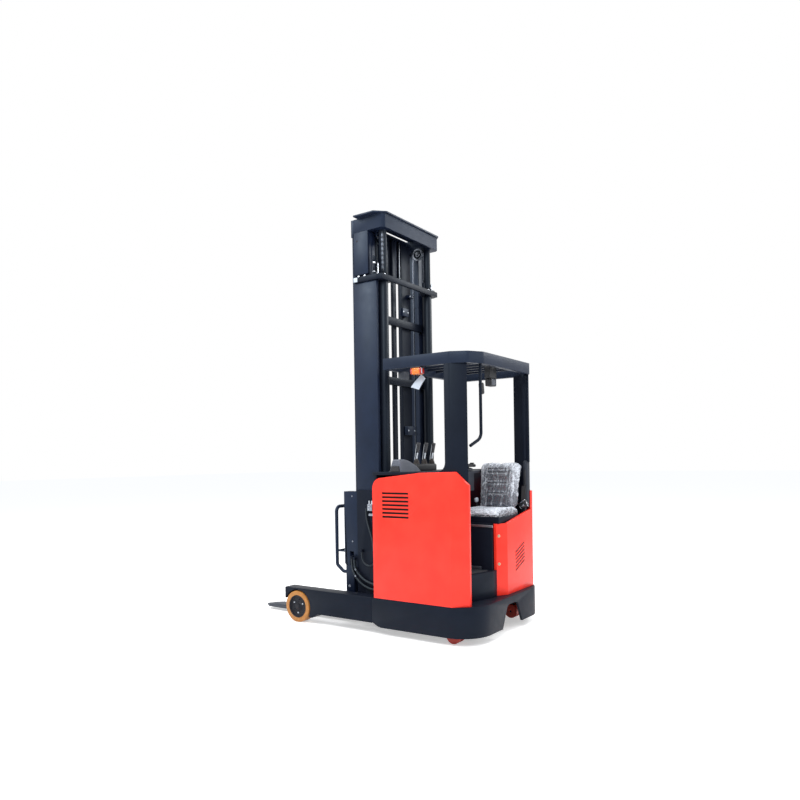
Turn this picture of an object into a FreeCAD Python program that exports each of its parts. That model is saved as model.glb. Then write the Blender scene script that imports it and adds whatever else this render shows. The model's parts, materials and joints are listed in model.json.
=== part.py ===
"""Reach truck: a side-seated electric truck whose mast slides forward between two wheel arms.

Frame: +X towards the fork tips, +Y to the driver's entry side, +Z up, millimetres.
The origin lies on the floor, under the middle of the whole truck.  Lengths named
*_back are measured backwards from the load wheels' axle, and *_half from the middle plane.
"""
import FreeCAD, Part
import Sketcher
import math
import os
from FreeCAD import Placement, Rotation, Vector

SIZES = {
    # chassis
    "chassis_width": 1270, "rear_back": 1752, "front_back": 815, "skirt_bottom": 64,
    "skirt_top": 297, "skirt_wall": 20, "rear_corner_radius": 250,
    "notch_width": 176, "notch_flare": 100, "notch_top": 240, "notch_corner": 50,
    "heel_run": 85, "heel_rise": 35,
    # wheel arms
    "arm_width": 120, "arm_bottom": 92, "arm_tip": 144, "arm_tip_bottom": 200,
    "arm_heel_bottom": 55, "arm_plate": 20, "arch_gap": 12, "rail_lip": 30,
    "rail_plate": 14, "rail_low": 120, "rail_gap": 130,
    # load wheels
    "load_radius": 136, "load_tyre": 26, "load_width": 88, "load_axle_radius": 20,
    "tyre_shoulder": 6, "rim_wall": 16, "rim_slope": 8, "dish_depth": 18,
    # fits and plates used in many places
    "bearing_clearance": 0.05, "seat_gap": 0.3, "side_gap": 5, "block": 30, "pin_radius": 12,
    # drive unit and balance wheels
    "drive_back": 1450, "drive_shift": -130, "drive_radius": 165, "drive_width": 110,
    "drive_tyre": 25, "drive_shoulder": 8, "steer_neck": 50, "motor_radius": 105,
    "motor_height": 330, "tower_radius": 200, "tower_wall": 14, "tower_height": 98,
    "balance_back": 1490, "balance_inset": 135, "balance_radius": 60, "balance_width": 40,
    "balance_head": 42, "balance_trail": 24, "balance_pin": 9, "balance_neck": 16,
    "balance_gap": 1, "balance_shoulder": 4,
    # red covers
    "cover_wall": 25, "panel_back": 837, "panel_bend_back": 1560, "panel_end_back": 1668,
    "panel_end_inset": 87, "panel_front_top": 1250, "panel_rise_back": 1296,
    "panel_rise": 6, "panel_end_drop": 100, "panel_slope_back": 1590, "panel_corner": 85,
    "slot_length": 250, "slot_height": 15, "slot_pitch": 31, "slot_count": 7,
    "slot_back": 934, "slot_low": 944, "slot_depth": 14,
    "tail_face_back": 1705, "tail_left": 70, "tail_bend": -15, "tail_right_inset": 120,
    "tail_side_step": 55, "tail_low_top": 875, "tail_high_top": 972,
    # cabin tub
    "bulkhead": 25, "battery_height": 720, "battery_inset": 70,
    "cab_back": 1215, "floor_top": 505, "floor_plate": 20, "well_half": 95,
    "step_back": 1579, "step_side": 430, "step_turn": 150,
    "deck_back": 821, "deck_top": 1305, "deck_plate": 26, "sill_width": 50,
    # controls
    "hood_setback": 158, "hood_length": 117, "hood_height": 100, "hood_width": 286,
    "hood_inset": 325, "hood_edge": 12,
    "lever_setback": 185, "lever_block": 60, "lever_height": 240, "lever_radius": 8,
    "lever_pitch": 120, "lever_count": 3, "grip_length": 90,
    "console_drop": 5, "console_depth": 90, "console_width": 160, "console_shift": -130,
    "console_height": 175, "shelf_reach": 110, "shelf_thick": 25, "steer_wheel_radius": 75,
    "steer_stem": 14, "steer_rise": 30, "steer_disc": 28, "knob_radius": 16,
    "knob_height": 22, "knob_offset": 48,
    # seat
    "seat_front_back": 1312, "seat_width": 360, "seat_rear": 330, "seat_depth": 400,
    "cushion_top": 975, "cushion_thick": 50, "cushion_corner": 50, "pan_thick": 48,
    "pedestal_rear": 150,
    "pedestal_inset": 60, "backrest_top": 1355, "backrest_thick": 90, "backrest_lean": 70,
    "backrest_corner": 35, "backrest_inset": 10,
    "pod_inner": 420, "pod_width": 77, "pod_depth": 38, "pod_top": 1380,
    # overhead guard
    "guard_inset": 30, "guard_front_back": 940, "guard_bend_back": 1552,
    "guard_facet_back": 1672, "guard_facet_inset": 95, "guard_rear_back": 1740,
    "guard_rear_inset": 217, "guard_top": 2206, "guard_depth": 88, "roof_rim": 45,
    "guard_bar": 28, "guard_bars": 7, "guard_bar_drop": 6, "post_front_back": 1500,
    "post_right_back": 1540, "post_facet_back": 1657, "post_facet_inset": 106,
    "post_wall": 70, "post_fold": 20, "grab_radius": 12, "grab_drop": 560, "grab_run": 31,
    "grab_side": 115, "grab_inset": 42, "grab_fall": 60, "grab_bend": 70,
    "beacon_setback": 256, "beacon_length": 100, "beacon_width": 60, "beacon_height": 60,
    "lamp_width": 120, "lamp_drop": 130, "eye_width": 40, "eye_drop": 208,
    # reach carriage
    "reach_gap": 7, "reach_plate": 12, "reach_plate_top": 1148, "base_low": 110,
    "base_plate": 40, "reach_stroke": 550, "reach_roller_span": 140, "base_inset": 12,
    "reach_barrel_radius": 32, "reach_rod_radius": 20, "reach_cylinder_shift": 220,
    "reach_cylinder_height": 185,
    # outer mast
    "mast_gap": 39.5, "outer_depth": 227, "web": 20, "lip": 34, "cap_overhang": 65,
    "outer_drop": 555, "bow_height": 45, "bow_wall": 22, "bow_proud": 15, "bow_corner": 60,
    "barrel_radius": 42, "rod_radius": 25, "barrel_setback": 57, "barrel_inset": 52,
    "anchor_height": 70,
    # inner mast
    "inner_inset": 38.5, "inner_lead": 50, "inner_depth": 200, "inner_flange": 60,
    "mast_top": 3460, "cap_height": 129, "cap_plate": 14, "cap_lap": 18, "cap_bevel": 25,
    "cap_reach": 20, "lid_side": 56, "lid_bevel": 85, "socket_wall": 9,
    "bar_depth": 35, "bar_height": 68, "high_bar": 330, "mid_bar": 852, "low_bar": 1685,
    "foot_bar": 300, "pulley_radius": 50, "pulley_drop": 91,
    "pulley_inset": 105, "pulley_setback": 26, "chain_thick": 10, "chain_width": 16,
    "bracket": 15, "shield_width": 145, "shield_shift": -125, "shield_depth": 40,
    "duct_width": 52, "duct_depth": 25, "duct_near": 57, "duct_far": 225,
    # fork carriage
    "column_top": 1135, "column_low": 490, "column_inset": 3.5, "column_width": 95,
    "column_depth": 100, "column_chamfer": 25, "column_flange": 43, "running_gap": 5,
    "carriage_plate": 25, "carriage_low": 250, "carriage_top": 850, "fork_bar": 40,
    "bar_setback": 19, "bar_low_bottom": 130, "bar_high_bottom": 500,
    "fork_bar_height": 120, "fork_length": 1010, "fork_width": 110, "fork_thick": 38,
    "fork_ground": 28, "fork_inset": 38, "fork_shank_top": 640, "fork_tip_thick": 12,
    "fork_taper": 160, "fork_nose": 60,
    "rest_radius": 15, "rest_reach": 115, "rest_top": 1000, "rest_low": 495,
    "rest_inset": 18, "rest_mid": 616, "rest_foot": 440, "rest_bend": 45,
    # hoses on the reach carriage
    "fitting": 22, "hose_bracket": 557, "hose_reach": 63,
}

# hose: radius, stand-off from the cheek, start ahead of the carriage's rear edge, start height,
# then each run's length with its direction in degrees from straight down towards the rear
HOSES = {
    "hose_upper": (9, 8, 182, 1000, [(50, 0), (60, 9), (72, 18), (72, 21), (60, 12), (50, 0)]),
    "hose_middle": (10, 10, 314, 557, [(40, 0), (48, 20), (55, 40), (62, 55), (66, 70), (66, 82),
                                       (48, 90)]),
    "hose_lower": (9, 12, 342, 565, [(50, 0), (55, 14), (60, 30), (65, 48), (70, 64), (75, 78),
                                     (65, 90)]),
    "hose_loop": (6, 14, 234, 628, [(44, 0), (40, 22), (36, 50), (34, 76), (34, 104), (36, 130),
                                    (40, 158), (44, 180)]),
}

doc = FreeCAD.newDocument("reach_truck")
sheet = doc.addObject("Spreadsheet::Sheet", "Sizes")
for row, (alias, number) in enumerate(SIZES.items(), start=1):
    sheet.set(f"A{row}", str(number))
    sheet.setAlias(f"A{row}", alias)
doc.recompute()


class Size:
    """A length that carries its present value and the formula that gives it."""

    def __init__(self, value, text):
        self.value = float(value)
        self.text = text

    def __add__(self, other):
        other = as_size(other)
        return Size(self.value + other.value, f"({self.text} + {other.text})")

    def __sub__(self, other):
        other = as_size(other)
        return Size(self.value - other.value, f"({self.text} - {other.text})")

    def __mul__(self, other):
        other = as_size(other)
        return Size(self.value * other.value, f"({self.text} * {other.text})")

    def __truediv__(self, other):
        other = as_size(other)
        return Size(self.value / other.value, f"({self.text} / {other.text})")

    def __radd__(self, other):
        return as_size(other) + self

    def __rsub__(self, other):
        return as_size(other) - self

    def __rmul__(self, other):
        return as_size(other) * self

    def __neg__(self):
        return 0 - self

    def __lt__(self, other):
        return self.value < as_size(other).value


def as_size(number):
    """Turn a bare number into a Size, and leave a Size alone."""
    if isinstance(number, Size):
        return number
    return Size(number, f"({number})" if number < 0 else f"{number}")


def cell(alias):
    """The Size held in the sheet's cell of that name."""
    return Size(sheet.get(alias), f"Sizes.{alias}")


s = type("Cells", (), {alias: cell(alias) for alias in SIZES})
PIECES = []


def bind(thing, path, size):
    """Tie one property of an object to a formula of the sheet's cells."""
    thing.setExpression(path, as_size(size).text)


def span(low, high):
    """A pair of sizes in rising order."""
    return (high, low) if as_size(high) < low else (low, high)


def piece(thing, name):
    """Name a finished sub-part and list it for writing."""
    thing.Label = name
    PIECES.append(thing)
    return thing


def box(name, x, y, z):
    """A block; x, y and z are its two ends along each axis."""
    block = doc.addObject("Part::Box", name)
    for side, axis, ends in zip(("Length", "Width", "Height"), "xyz", (x, y, z)):
        low, high = span(*ends)
        bind(block, side, high - low)
        bind(block, f"Placement.Base.{axis}", low)
    return block


TURN = {"x": Rotation(Vector(0, 1, 0), 90), "y": Rotation(Vector(1, 0, 0), -90), "z": Rotation()}


def rod(name, axis, radius, ends, across):
    """A round bar along an axis; across is its place on the other two axes, in x, y, z order."""
    bar = doc.addObject("Part::Cylinder", name)
    bar.Placement = Placement(Vector(0, 0, 0), TURN[axis])
    low, high = span(*ends)
    bind(bar, "Radius", radius)
    bind(bar, "Height", high - low)
    bind(bar, f"Placement.Base.{axis}", low)
    for other, place in zip([a for a in "xyz" if a != axis], across):
        bind(bar, f"Placement.Base.{other}", place)
    return bar


def fuse(name, *things):
    """One solid from several that touch or overlap."""
    joined = doc.addObject("Part::MultiFuse", name)
    joined.Shapes = list(things)
    joined.Refine = True
    return joined


def group(name, *things):
    """Like pieces that share a node without touching."""
    together = doc.addObject("Part::Compound", name)
    together.Links = list(things)
    return together


def cut(name, base, *tools):
    """The base with every tool taken away."""
    for number, tool in enumerate(tools):
        less = doc.addObject("Part::Cut", f"{name}_{number}")
        less.Base = base
        less.Tool = tool
        less.Refine = True
        base = less
    return base


def common(name, base, tool):
    """What two solids share."""
    shared = doc.addObject("Part::Common", name)
    shared.Base = base
    shared.Tool = tool
    shared.Refine = True
    return shared


PLANES = {"z": "XY_Plane", "y": "XZ_Plane", "x": "YZ_Plane"}


def outline(body, axis, corners):
    """A closed sketch through the corners, each tied to the sheet, on the plane across an axis."""
    profile = body.newObject("Sketcher::SketchObject", f"{body.Name}_outline")
    plane = [p for p in body.Origin.OriginFeatures if p.Role == PLANES[axis]][0]
    profile.AttachmentSupport = [(plane, "")]
    profile.MapMode = "FlatFace"
    points = [Vector(as_size(u).value, as_size(v).value, 0) for u, v in corners]
    count = len(points)
    for n in range(count):
        profile.addGeometry(Part.LineSegment(points[n], points[(n + 1) % count]), False)
    for n in range(count):
        join = Sketcher.Constraint("Coincident", n, 2, (n + 1) % count, 1)
        profile.addConstraint(join)
    for n, (u, v) in enumerate(corners):
        for kind, place in (("DistanceX", u), ("DistanceY", v)):
            index = profile.addConstraint(
                Sketcher.Constraint(kind, -1, 1, n, 1, as_size(place).value))
            profile.renameConstraint(index, f"{kind}{n}")
            bind(profile, f"Constraints.{kind}{n}", place)
    return profile


def prism(name, axis, corners, ends):
    """A padded outline.  Corners are (y, z), (x, z) or (x, y) for the axis x, y or z."""
    body = doc.addObject("PartDesign::Body", name)
    profile = outline(body, axis, corners)
    pad = body.newObject("PartDesign::Pad", f"{name}_pad")
    pad.Profile = profile
    low, high = span(*ends)
    bind(pad, "Length", high - low)
    bind(body, f"Placement.Base.{axis}", high if axis == "y" else low)
    profile.Visibility = False
    return body


def turned(name, axis, corners, place):
    """A solid of revolution about an axis; corners are (radius, distance along the axis)."""
    body = doc.addObject("PartDesign::Body", name)
    plane = {"z": "y", "y": "z", "x": "z"}[axis]
    flat = [(along, radius) for radius, along in corners] if axis == "x" else corners
    profile = outline(body, plane, flat)
    spin = body.newObject("PartDesign::Revolution", f"{name}_turn")
    spin.Profile = profile
    spin.ReferenceAxis = (profile, ["H_Axis" if axis == "x" else "V_Axis"])
    spin.Angle = 360
    for letter, position in zip("xyz", place):
        bind(body, f"Placement.Base.{letter}", position)
    return body


def round_corners(body, axis, radius, corners):
    """Round the edges that run along the axis through the given corners of the outline."""
    doc.recompute()
    across = [n for n, letter in enumerate("xyz") if letter != axis]
    spots = [(as_size(u).value, as_size(v).value) for u, v in corners]
    names = []
    for number, edge in enumerate(body.Tip.Shape.Edges, start=1):
        ends = [vertex.Point for vertex in edge.Vertexes]
        if len(ends) < 2:
            continue
        middle = (ends[0] + ends[1]) * 0.5
        run = ends[1] - ends[0]
        sideways = math.hypot(run[across[0]], run[across[1]])
        for u, v in spots:
            if sideways < 1e-3 and math.hypot(middle[across[0]] - u, middle[across[1]] - v) < 0.5:
                names.append(f"Edge{number}")
    base = body.Tip
    soft = body.newObject("PartDesign::Fillet", f"{body.Name}_round")
    soft.Base = (base, names)
    bind(soft, "Radius", radius)
    return body


def tube_along(name, radius, points, bends):
    """A round tube along straight runs joined by tangent arcs, one bend radius per inner point."""
    places = [Vector(*[as_size(c).value for c in point]) for point in points]
    edges = []
    start = places[0]
    for n in range(1, len(places) - 1):
        into = (places[n] - places[n - 1]).normalize()
        away = (places[n + 1] - places[n]).normalize()
        half_turn = into.getAngle(away) / 2
        reach = bends[n - 1] * math.tan(half_turn)
        first = places[n] - into * reach
        last = places[n] + away * reach
        inward = (away - into).normalize()
        centre = places[n] + inward * (bends[n - 1] / math.cos(half_turn))
        edges.append(Part.LineSegment(start, first).toShape())
        edges.append(Part.Arc(first, centre - inward * bends[n - 1], last).toShape())
        start = last
    edges.append(Part.LineSegment(start, places[-1]).toShape())
    spine = Part.Wire(edges)
    ring = Part.Wire(Part.makeCircle(as_size(radius).value, places[0], places[1] - places[0]))
    tube = doc.addObject("Part::Feature", name)
    tube.Shape = spine.makePipeShell([ring], True, False)
    return tube


# ---------------------------------------------------------------- shared places
half_width = s.chassis_width / 2
guard_half = half_width - s.guard_inset
mast_rear_back = s.front_back + s.reach_gap
outer_half = half_width - s.arm_width - s.rail_lip - s.reach_plate - s.mast_gap
outer_top = s.mast_top - s.outer_drop
outer_rear_back = mast_rear_back - s.cap_overhang
outer_front_back = outer_rear_back - s.outer_depth
barrel_back = mast_rear_back - s.barrel_setback
inner_half = outer_half - s.inner_inset
inner_top = s.mast_top - s.cap_height
inner_front_back = outer_front_back - s.inner_lead
inner_rear_back = inner_front_back + s.inner_depth
barrel_half = inner_half - s.barrel_inset
pulley_half = inner_half - s.pulley_inset
pulley_back = inner_rear_back + s.pulley_setback
pulley_height = inner_top - s.pulley_drop
anchor_top = outer_top + s.bow_height + s.anchor_height
column_half = outer_half - s.column_inset
column_rear_back = inner_front_back - s.running_gap
column_front_back = column_rear_back - s.column_depth
fork_half = column_half - s.fork_inset
bars_front_back = column_front_back + s.bar_setback
tip_reach = s.fork_length + s.fork_thick - bars_front_back
axle = (s.rear_back - tip_reach) / 2
cushion_low = s.cushion_top - s.cushion_thick
pan_low = cushion_low - s.seat_gap - s.pan_thick


def back(distance):
    """The x of a point so far behind the load wheels' axle."""
    return axle - distance


def mirror(side, low, high):
    """A span across y, on the left for side 1 and on the right for side -1."""
    return span(side * low, side * high)


# ---------------------------------------------------------------- chassis
def base_skirt():
    """The low steel tub round the drive unit, open below, with an arch in its tail."""
    front, rear = back(s.front_back), back(s.rear_back)
    tub = prism("skirt_block", "z", [(front, -half_width), (front, half_width),
                                     (rear, half_width), (rear, -half_width)],
                (s.skirt_bottom, s.skirt_top))
    round_corners(tub, "z", s.rear_corner_radius, [(rear, half_width), (rear, -half_width)])
    wall = s.skirt_wall
    hollow = prism("skirt_hollow", "z",
                   [(front - wall, wall - half_width), (front - wall, half_width - wall),
                    (rear + wall, half_width - wall), (rear + wall, wall - half_width)],
                   (s.skirt_bottom - wall, s.skirt_top - wall))
    round_corners(hollow, "z", s.rear_corner_radius - wall,
                  [(rear + wall, half_width - wall), (rear + wall, wall - half_width)])
    left, mouth = s.notch_width / 2, s.notch_width / 2 + s.notch_flare
    notch = prism("tail_notch", "x", [(mouth, s.skirt_bottom - wall), (left, s.notch_top),
                                      (-left, s.notch_top), (-mouth, s.skirt_bottom - wall)],
                  (rear - wall, rear + wall * 2))
    round_corners(notch, "x", s.notch_corner, [(left, s.notch_top), (-left, s.notch_top)])
    low, heel_top = s.skirt_bottom, s.skirt_bottom + s.heel_rise
    heel = prism("skirt_heel", "y",
                 [(front + wall, low - wall), (front + wall, heel_top), (front, heel_top),
                  (front - s.heel_run / 3, low + s.heel_rise * 0.55),
                  (front - s.heel_run * 2 / 3, low + s.heel_rise * 0.18),
                  (front - s.heel_run, low), (front - s.heel_run, low - wall)],
                 (-half_width - wall, half_width + wall))
    neck = rod("wheel_well", "z", s.tower_radius - s.tower_wall,
               (s.skirt_top - wall * 2, s.skirt_top + wall),
               (back(s.drive_back), s.drive_shift))
    swivels = [rod("balance_hole", "z", s.balance_neck + s.bearing_clearance,
                   (s.skirt_top - wall * 2, s.skirt_top + wall),
                   (back(s.balance_back), side * (half_width - s.balance_inset)))
               for side in (1, -1)]
    reach = rod("reach_hole", "x", s.reach_barrel_radius,
                (front - wall * 2, front + wall), (s.reach_cylinder_shift, s.reach_cylinder_height))
    piece(cut("skirt", tub, hollow, notch, heel, neck, *swivels, reach), "base_skirt")


def wheel_arm(side, name):
    """A box arm with the wheel's arch, its axle and the two lips that the carriage rolls between."""
    outer, inner = half_width, half_width - s.arm_width
    tip, rear = axle + s.arm_tip, back(s.front_back)
    arch = s.load_radius + s.arch_gap
    bar = prism(f"{name}_bar", "y",
                [(rear, s.arm_bottom), (rear, s.skirt_top), (tip, s.skirt_top),
                 (tip, s.arm_tip_bottom), (axle, s.load_radius),
                 (axle - s.load_radius, s.arm_heel_bottom),
                 (axle - arch - s.arm_plate, s.arm_heel_bottom),
                 (axle - arch - s.arm_plate * 4, s.arm_bottom)],
                mirror(side, inner, outer))
    well = rod(f"{name}_arch", "y", arch, mirror(side, inner + s.arm_plate, outer + s.arm_plate),
               (axle, s.load_radius))
    pin = rod(f"{name}_axle", "y", s.load_axle_radius,
              mirror(side, inner + s.arm_plate, outer - s.side_gap * 4), (axle, s.load_radius))
    boss = rod(f"{name}_boss", "y", s.load_radius / 2, mirror(side, inner, inner + s.arm_plate),
               (axle, s.load_radius))
    lips = [box(f"{name}_lip", (rear, axle + s.arm_plate), mirror(side, inner, inner - s.rail_lip),
                (low, low + s.rail_plate))
            for low in (s.rail_low - s.rail_plate, s.rail_low + s.rail_gap)]
    shell = cut(f"{name}_shell", bar, well)
    piece(fuse(f"{name}_whole", shell, pin, boss, *lips), name)


def load_wheel(side, word):
    """A hub that turns on the arm's axle, with a polyurethane tyre pressed on."""
    outer = half_width
    inner = half_width - s.load_width
    rim = s.load_radius - s.load_tyre
    bore = s.load_axle_radius + s.bearing_clearance
    hub = turned(f"hub_{word}", "y",
                 [(bore, s.load_width), (bore, 0), (rim, 0), (rim, s.load_width),
                  (rim - s.rim_wall, s.load_width),
                  (rim - s.rim_wall - s.rim_slope, s.load_width - s.dish_depth),
                  (s.load_axle_radius * 2, s.load_width - s.dish_depth),
                  (s.load_axle_radius * 2 - s.rim_slope / 2, s.load_width)],
                 (axle, inner, s.load_radius))
    shoulder = s.tyre_shoulder
    tyre = turned(f"tyre_{word}", "y",
                  [(rim, 0), (s.load_radius - shoulder, 0), (s.load_radius, shoulder),
                   (s.load_radius, s.load_width - shoulder),
                   (s.load_radius - shoulder, s.load_width), (rim, s.load_width)],
                  (axle, inner, s.load_radius))
    if side < 0:
        for body in (hub, tyre):
            body.Placement = Placement(Vector(0, 0, 0), Rotation(Vector(0, 0, 1), 180))
            for letter, place in zip("xyz", (axle, -inner, s.load_radius)):
                bind(body, f"Placement.Base.{letter}", place)
    piece(hub, f"load_hub_{word}")
    piece(tyre, f"load_tyre_{word}")


def drive_unit():
    """Motor on the chassis plate, gear case that steers below it, and the driven wheel."""
    centre = (back(s.drive_back), s.drive_shift)
    roof = s.skirt_top + s.tower_height
    plate = roof - s.skirt_wall
    motor = rod("motor_can", "z", s.motor_radius, (roof, s.skirt_top + s.motor_height), centre)
    tower = rod("tower_drum", "z", s.tower_radius, (s.skirt_top, roof), centre)
    room = rod("tower_room", "z", s.tower_radius - s.tower_wall,
               (s.skirt_top - s.tower_wall, plate), centre)
    bearing = rod("steer_hole", "z", s.steer_neck + s.bearing_clearance,
                  (plate - s.tower_wall, roof), centre)
    piece(cut("motor_whole", fuse("motor_parts", motor, tower), room, bearing), "drive_motor")
    inner = s.drive_shift + s.drive_width / 2 + s.side_gap
    crown = s.drive_radius * 2 + s.side_gap
    turntable = rod("turntable", "z", s.motor_radius + s.tower_wall,
                    (crown, plate - s.seat_gap), centre)
    neck = rod("steer_pin", "z", s.steer_neck, (crown, roof - s.seat_gap), centre)
    leg = box("gear_leg", (centre[0] - s.steer_neck, centre[0] + s.steer_neck),
              (inner, inner + s.steer_neck), (s.drive_radius, crown + s.side_gap))
    end = rod("gear_end", "y", s.drive_radius / 2, (inner, inner + s.steer_neck),
              (centre[0], s.drive_radius))
    stub = rod("drive_shaft", "y", s.load_axle_radius,
               (s.drive_shift - s.drive_width / 2, inner), (centre[0], s.drive_radius))
    piece(fuse("gear_whole", turntable, neck, leg, end, stub), "drive_gearbox")
    bore = s.load_axle_radius + s.bearing_clearance
    shoulder, width, dish = s.drive_shoulder, s.drive_width, s.drive_width - s.drive_tyre
    wheel = turned("drive_round", "y",
                   [(bore, 0), (s.drive_radius - shoulder, 0), (s.drive_radius, shoulder),
                    (s.drive_radius, width - shoulder), (s.drive_radius - shoulder, width),
                    (s.drive_radius - s.drive_tyre, width),
                    (s.drive_radius - s.drive_tyre - shoulder, dish),
                    (bore * 2, dish), (bore * 2, width), (bore, width)],
                   (centre[0], s.drive_shift - width / 2, s.drive_radius))
    piece(wheel, "drive_wheel")


def balance_wheel(side, word):
    """A small twin-wheel caster under a rear corner."""
    x, y = back(s.balance_back), side * (half_width - s.balance_inset)
    wheel_x = x - s.balance_trail
    plate = s.skirt_top - s.skirt_wall
    gap = s.balance_gap
    middle = s.balance_neck / 2
    head_low = s.balance_radius * 2 + s.side_gap
    head = rod(f"head_{word}", "z", s.balance_head, (head_low, plate - s.seat_gap), (x, y))
    neck = rod(f"neck_{word}", "z", s.balance_neck, (plate - s.skirt_wall, s.skirt_top), (x, y))
    web = box(f"web_{word}", (wheel_x - s.balance_pin * 1.6, x + s.balance_pin),
              (y - middle, y + middle),
              (s.balance_radius - s.balance_pin, head_low + s.side_gap * 2))
    pin = rod(f"pin_{word}", "y", s.balance_pin,
              (y - middle - gap - s.balance_width, y + middle + gap + s.balance_width),
              (wheel_x, s.balance_radius))
    piece(fuse(f"caster_{word}", head, neck, web, pin), f"balance_fork_{word}")
    bore = s.balance_pin + s.bearing_clearance
    shoulder = s.balance_shoulder
    wheels = [turned(f"roller_{word}", "y",
                     [(bore, 0), (s.balance_radius - shoulder, 0), (s.balance_radius, shoulder),
                      (s.balance_radius, s.balance_width - shoulder),
                      (s.balance_radius - shoulder, s.balance_width), (bore, s.balance_width)],
                     (wheel_x, low, s.balance_radius))
              for low in (y + middle + gap, y - middle - gap - s.balance_width)]
    piece(group(f"twin_{word}", *wheels), f"balance_wheels_{word}")


def reach_cylinder():
    """Barrel behind the chassis front and the rod that pushes the mast carriage out."""
    front = back(s.front_back)
    place = (s.reach_cylinder_shift, s.reach_cylinder_height)
    rear_end = front - s.reach_stroke - s.skirt_wall * 3
    barrel = rod("reach_tube", "x", s.reach_barrel_radius, (rear_end, front), place)
    bore = rod("reach_bore", "x", s.reach_rod_radius + s.bearing_clearance,
               (rear_end + s.skirt_wall, front + s.skirt_wall), place)
    piece(cut("reach_barrel_cut", barrel, bore), "reach_barrel")
    piece(rod("reach_rod_bar", "x", s.reach_rod_radius,
              (rear_end + s.skirt_wall * 1.5, back(mast_rear_back - s.base_inset)), place),
          "reach_rod")


# ---------------------------------------------------------------- red covers and cab
def side_panel(side, name):
    """A pressed side cover: flat, bent in at the rear, rounded at the front, with louvre slots."""
    wall = s.cover_wall
    front, bend, end = back(s.panel_back), back(s.panel_bend_back), back(s.panel_end_back)
    end_half = half_width - s.panel_end_inset
    plan = [(front, side * half_width), (bend, side * half_width), (end, side * end_half),
            (end, side * (end_half - wall)), (bend + wall / 4, side * (half_width - wall)),
            (front, side * (half_width - wall))]
    sheet_metal = prism(f"{name}_plan", "z", plan, (s.skirt_top, s.deck_top))
    face = prism(f"{name}_face", "y",
                 [(front, s.skirt_top), (front, s.panel_front_top),
                  (back(s.panel_rise_back), s.deck_top - s.panel_rise),
                  (back(s.panel_slope_back), s.deck_top), (end, s.deck_top - s.panel_end_drop),
                  (end, s.skirt_top)],
                 (-half_width, half_width))
    round_corners(face, "y", s.panel_corner, [(front, s.panel_front_top)])
    slots = [box(f"{name}_slot", (back(s.slot_back), back(s.slot_back + s.slot_length)),
                 mirror(side, half_width - s.slot_depth, half_width + wall),
                 (s.slot_low + s.slot_pitch * n, s.slot_low + s.slot_pitch * n + s.slot_height))
             for n in range(int(s.slot_count.value))]
    piece(cut(f"{name}_slots", common(f"{name}_sheet", sheet_metal, face), *slots), name)


def rear_cover():
    """The red tail cover over the drive motor, bent in plan, its top edge rising to the right."""
    wall = s.cover_wall
    face, side_x = back(s.tail_face_back), back(s.tail_face_back - s.tail_side_step)
    corner_x, corner_y = back(s.panel_end_back), s.panel_end_inset - half_width
    right = s.tail_right_inset - half_width
    plan = [(side_x, s.tail_left), (face, s.tail_bend), (face, right), (corner_x, corner_y),
            (corner_x, corner_y + wall), (face + wall, right + wall),
            (face + wall, s.tail_bend - wall / 3), (side_x + wall, s.tail_left)]
    bent = prism("tail_plan", "z", plan, (s.skirt_top, s.tail_high_top))
    rise = prism("tail_rise", "x",
                 [(s.tail_left, s.skirt_top), (s.tail_left, s.tail_low_top),
                  (s.tail_bend, s.tail_low_top), (corner_y, s.tail_high_top),
                  (corner_y, s.skirt_top)],
                 (face - wall, side_x + wall * 2))
    piece(common("tail_cover", bent, rise), "rear_cover")


def cab_tub():
    """Bulkhead, battery, floor well and the black wall under the seat."""
    inner = half_width - s.cover_wall
    front = back(s.panel_back)
    under_deck = s.deck_top - s.deck_plate
    wall = s.bulkhead
    bulkhead = box("front_wall", (front, front - wall), (-inner, inner), (s.skirt_top, under_deck))
    rear_wall = box("battery_wall", (back(s.cab_back - wall), back(s.cab_back)), (-inner, inner),
                    (s.skirt_top, under_deck))
    piece(group("walls", bulkhead, rear_wall), "battery_walls")
    cell_half = half_width - s.battery_inset
    piece(box("battery_block", (front - wall - s.side_gap, back(s.cab_back - wall) + s.side_gap),
              (-cell_half, cell_half), (s.skirt_top, s.skirt_top + s.battery_height)), "battery")
    well_rear = back(s.tail_face_back - s.tail_side_step)
    wall_end = well_rear + s.cover_wall
    cover_side = s.tail_left + s.seat_gap
    post_in = guard_half - s.post_wall - s.side_gap
    post_x, plate = back(s.post_front_back - s.side_gap), s.floor_plate
    step = [(back(s.step_back), s.step_side), (well_rear, s.step_turn), (well_rear, cover_side)]
    floor = prism("floor_sheet", "z",
                  [(back(s.cab_back), s.well_half), (back(s.cab_back), inner), (post_x, inner),
                   (post_x, post_in), (back(s.guard_bend_back - s.post_fold), post_in), *step,
                   (wall_end, cover_side), (wall_end, s.well_half)],
                  (s.floor_top - plate, s.floor_top))
    riser = prism("step_riser", "z", step + [(x + plate, y) for x, y in reversed(step)],
                  (s.skirt_top, s.floor_top - plate))
    side_wall = box("seat_wall", (back(s.cab_back), wall_end),
                    (s.well_half - s.floor_plate, s.well_half),
                    (s.skirt_top, pan_low - plate))
    piece(fuse("well", floor, riser, side_wall), "cab_floor")


def deck():
    """The black deck over the battery, with a sill running back along each side to the posts."""
    inner = half_width - s.cover_wall
    front, rear = back(s.deck_back), back(s.cab_back)
    sill = inner - s.sill_width
    end, far_end = back(s.post_front_back), back(s.post_right_back)
    plate = prism("deck_plan", "z",
                  [(front, -inner), (front, inner), (end, inner), (end, sill), (rear, sill),
                   (rear, -sill), (far_end, -sill), (far_end, -inner)],
                  (s.deck_top - s.deck_plate, s.deck_top))
    piece(plate, "deck_plate")


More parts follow.
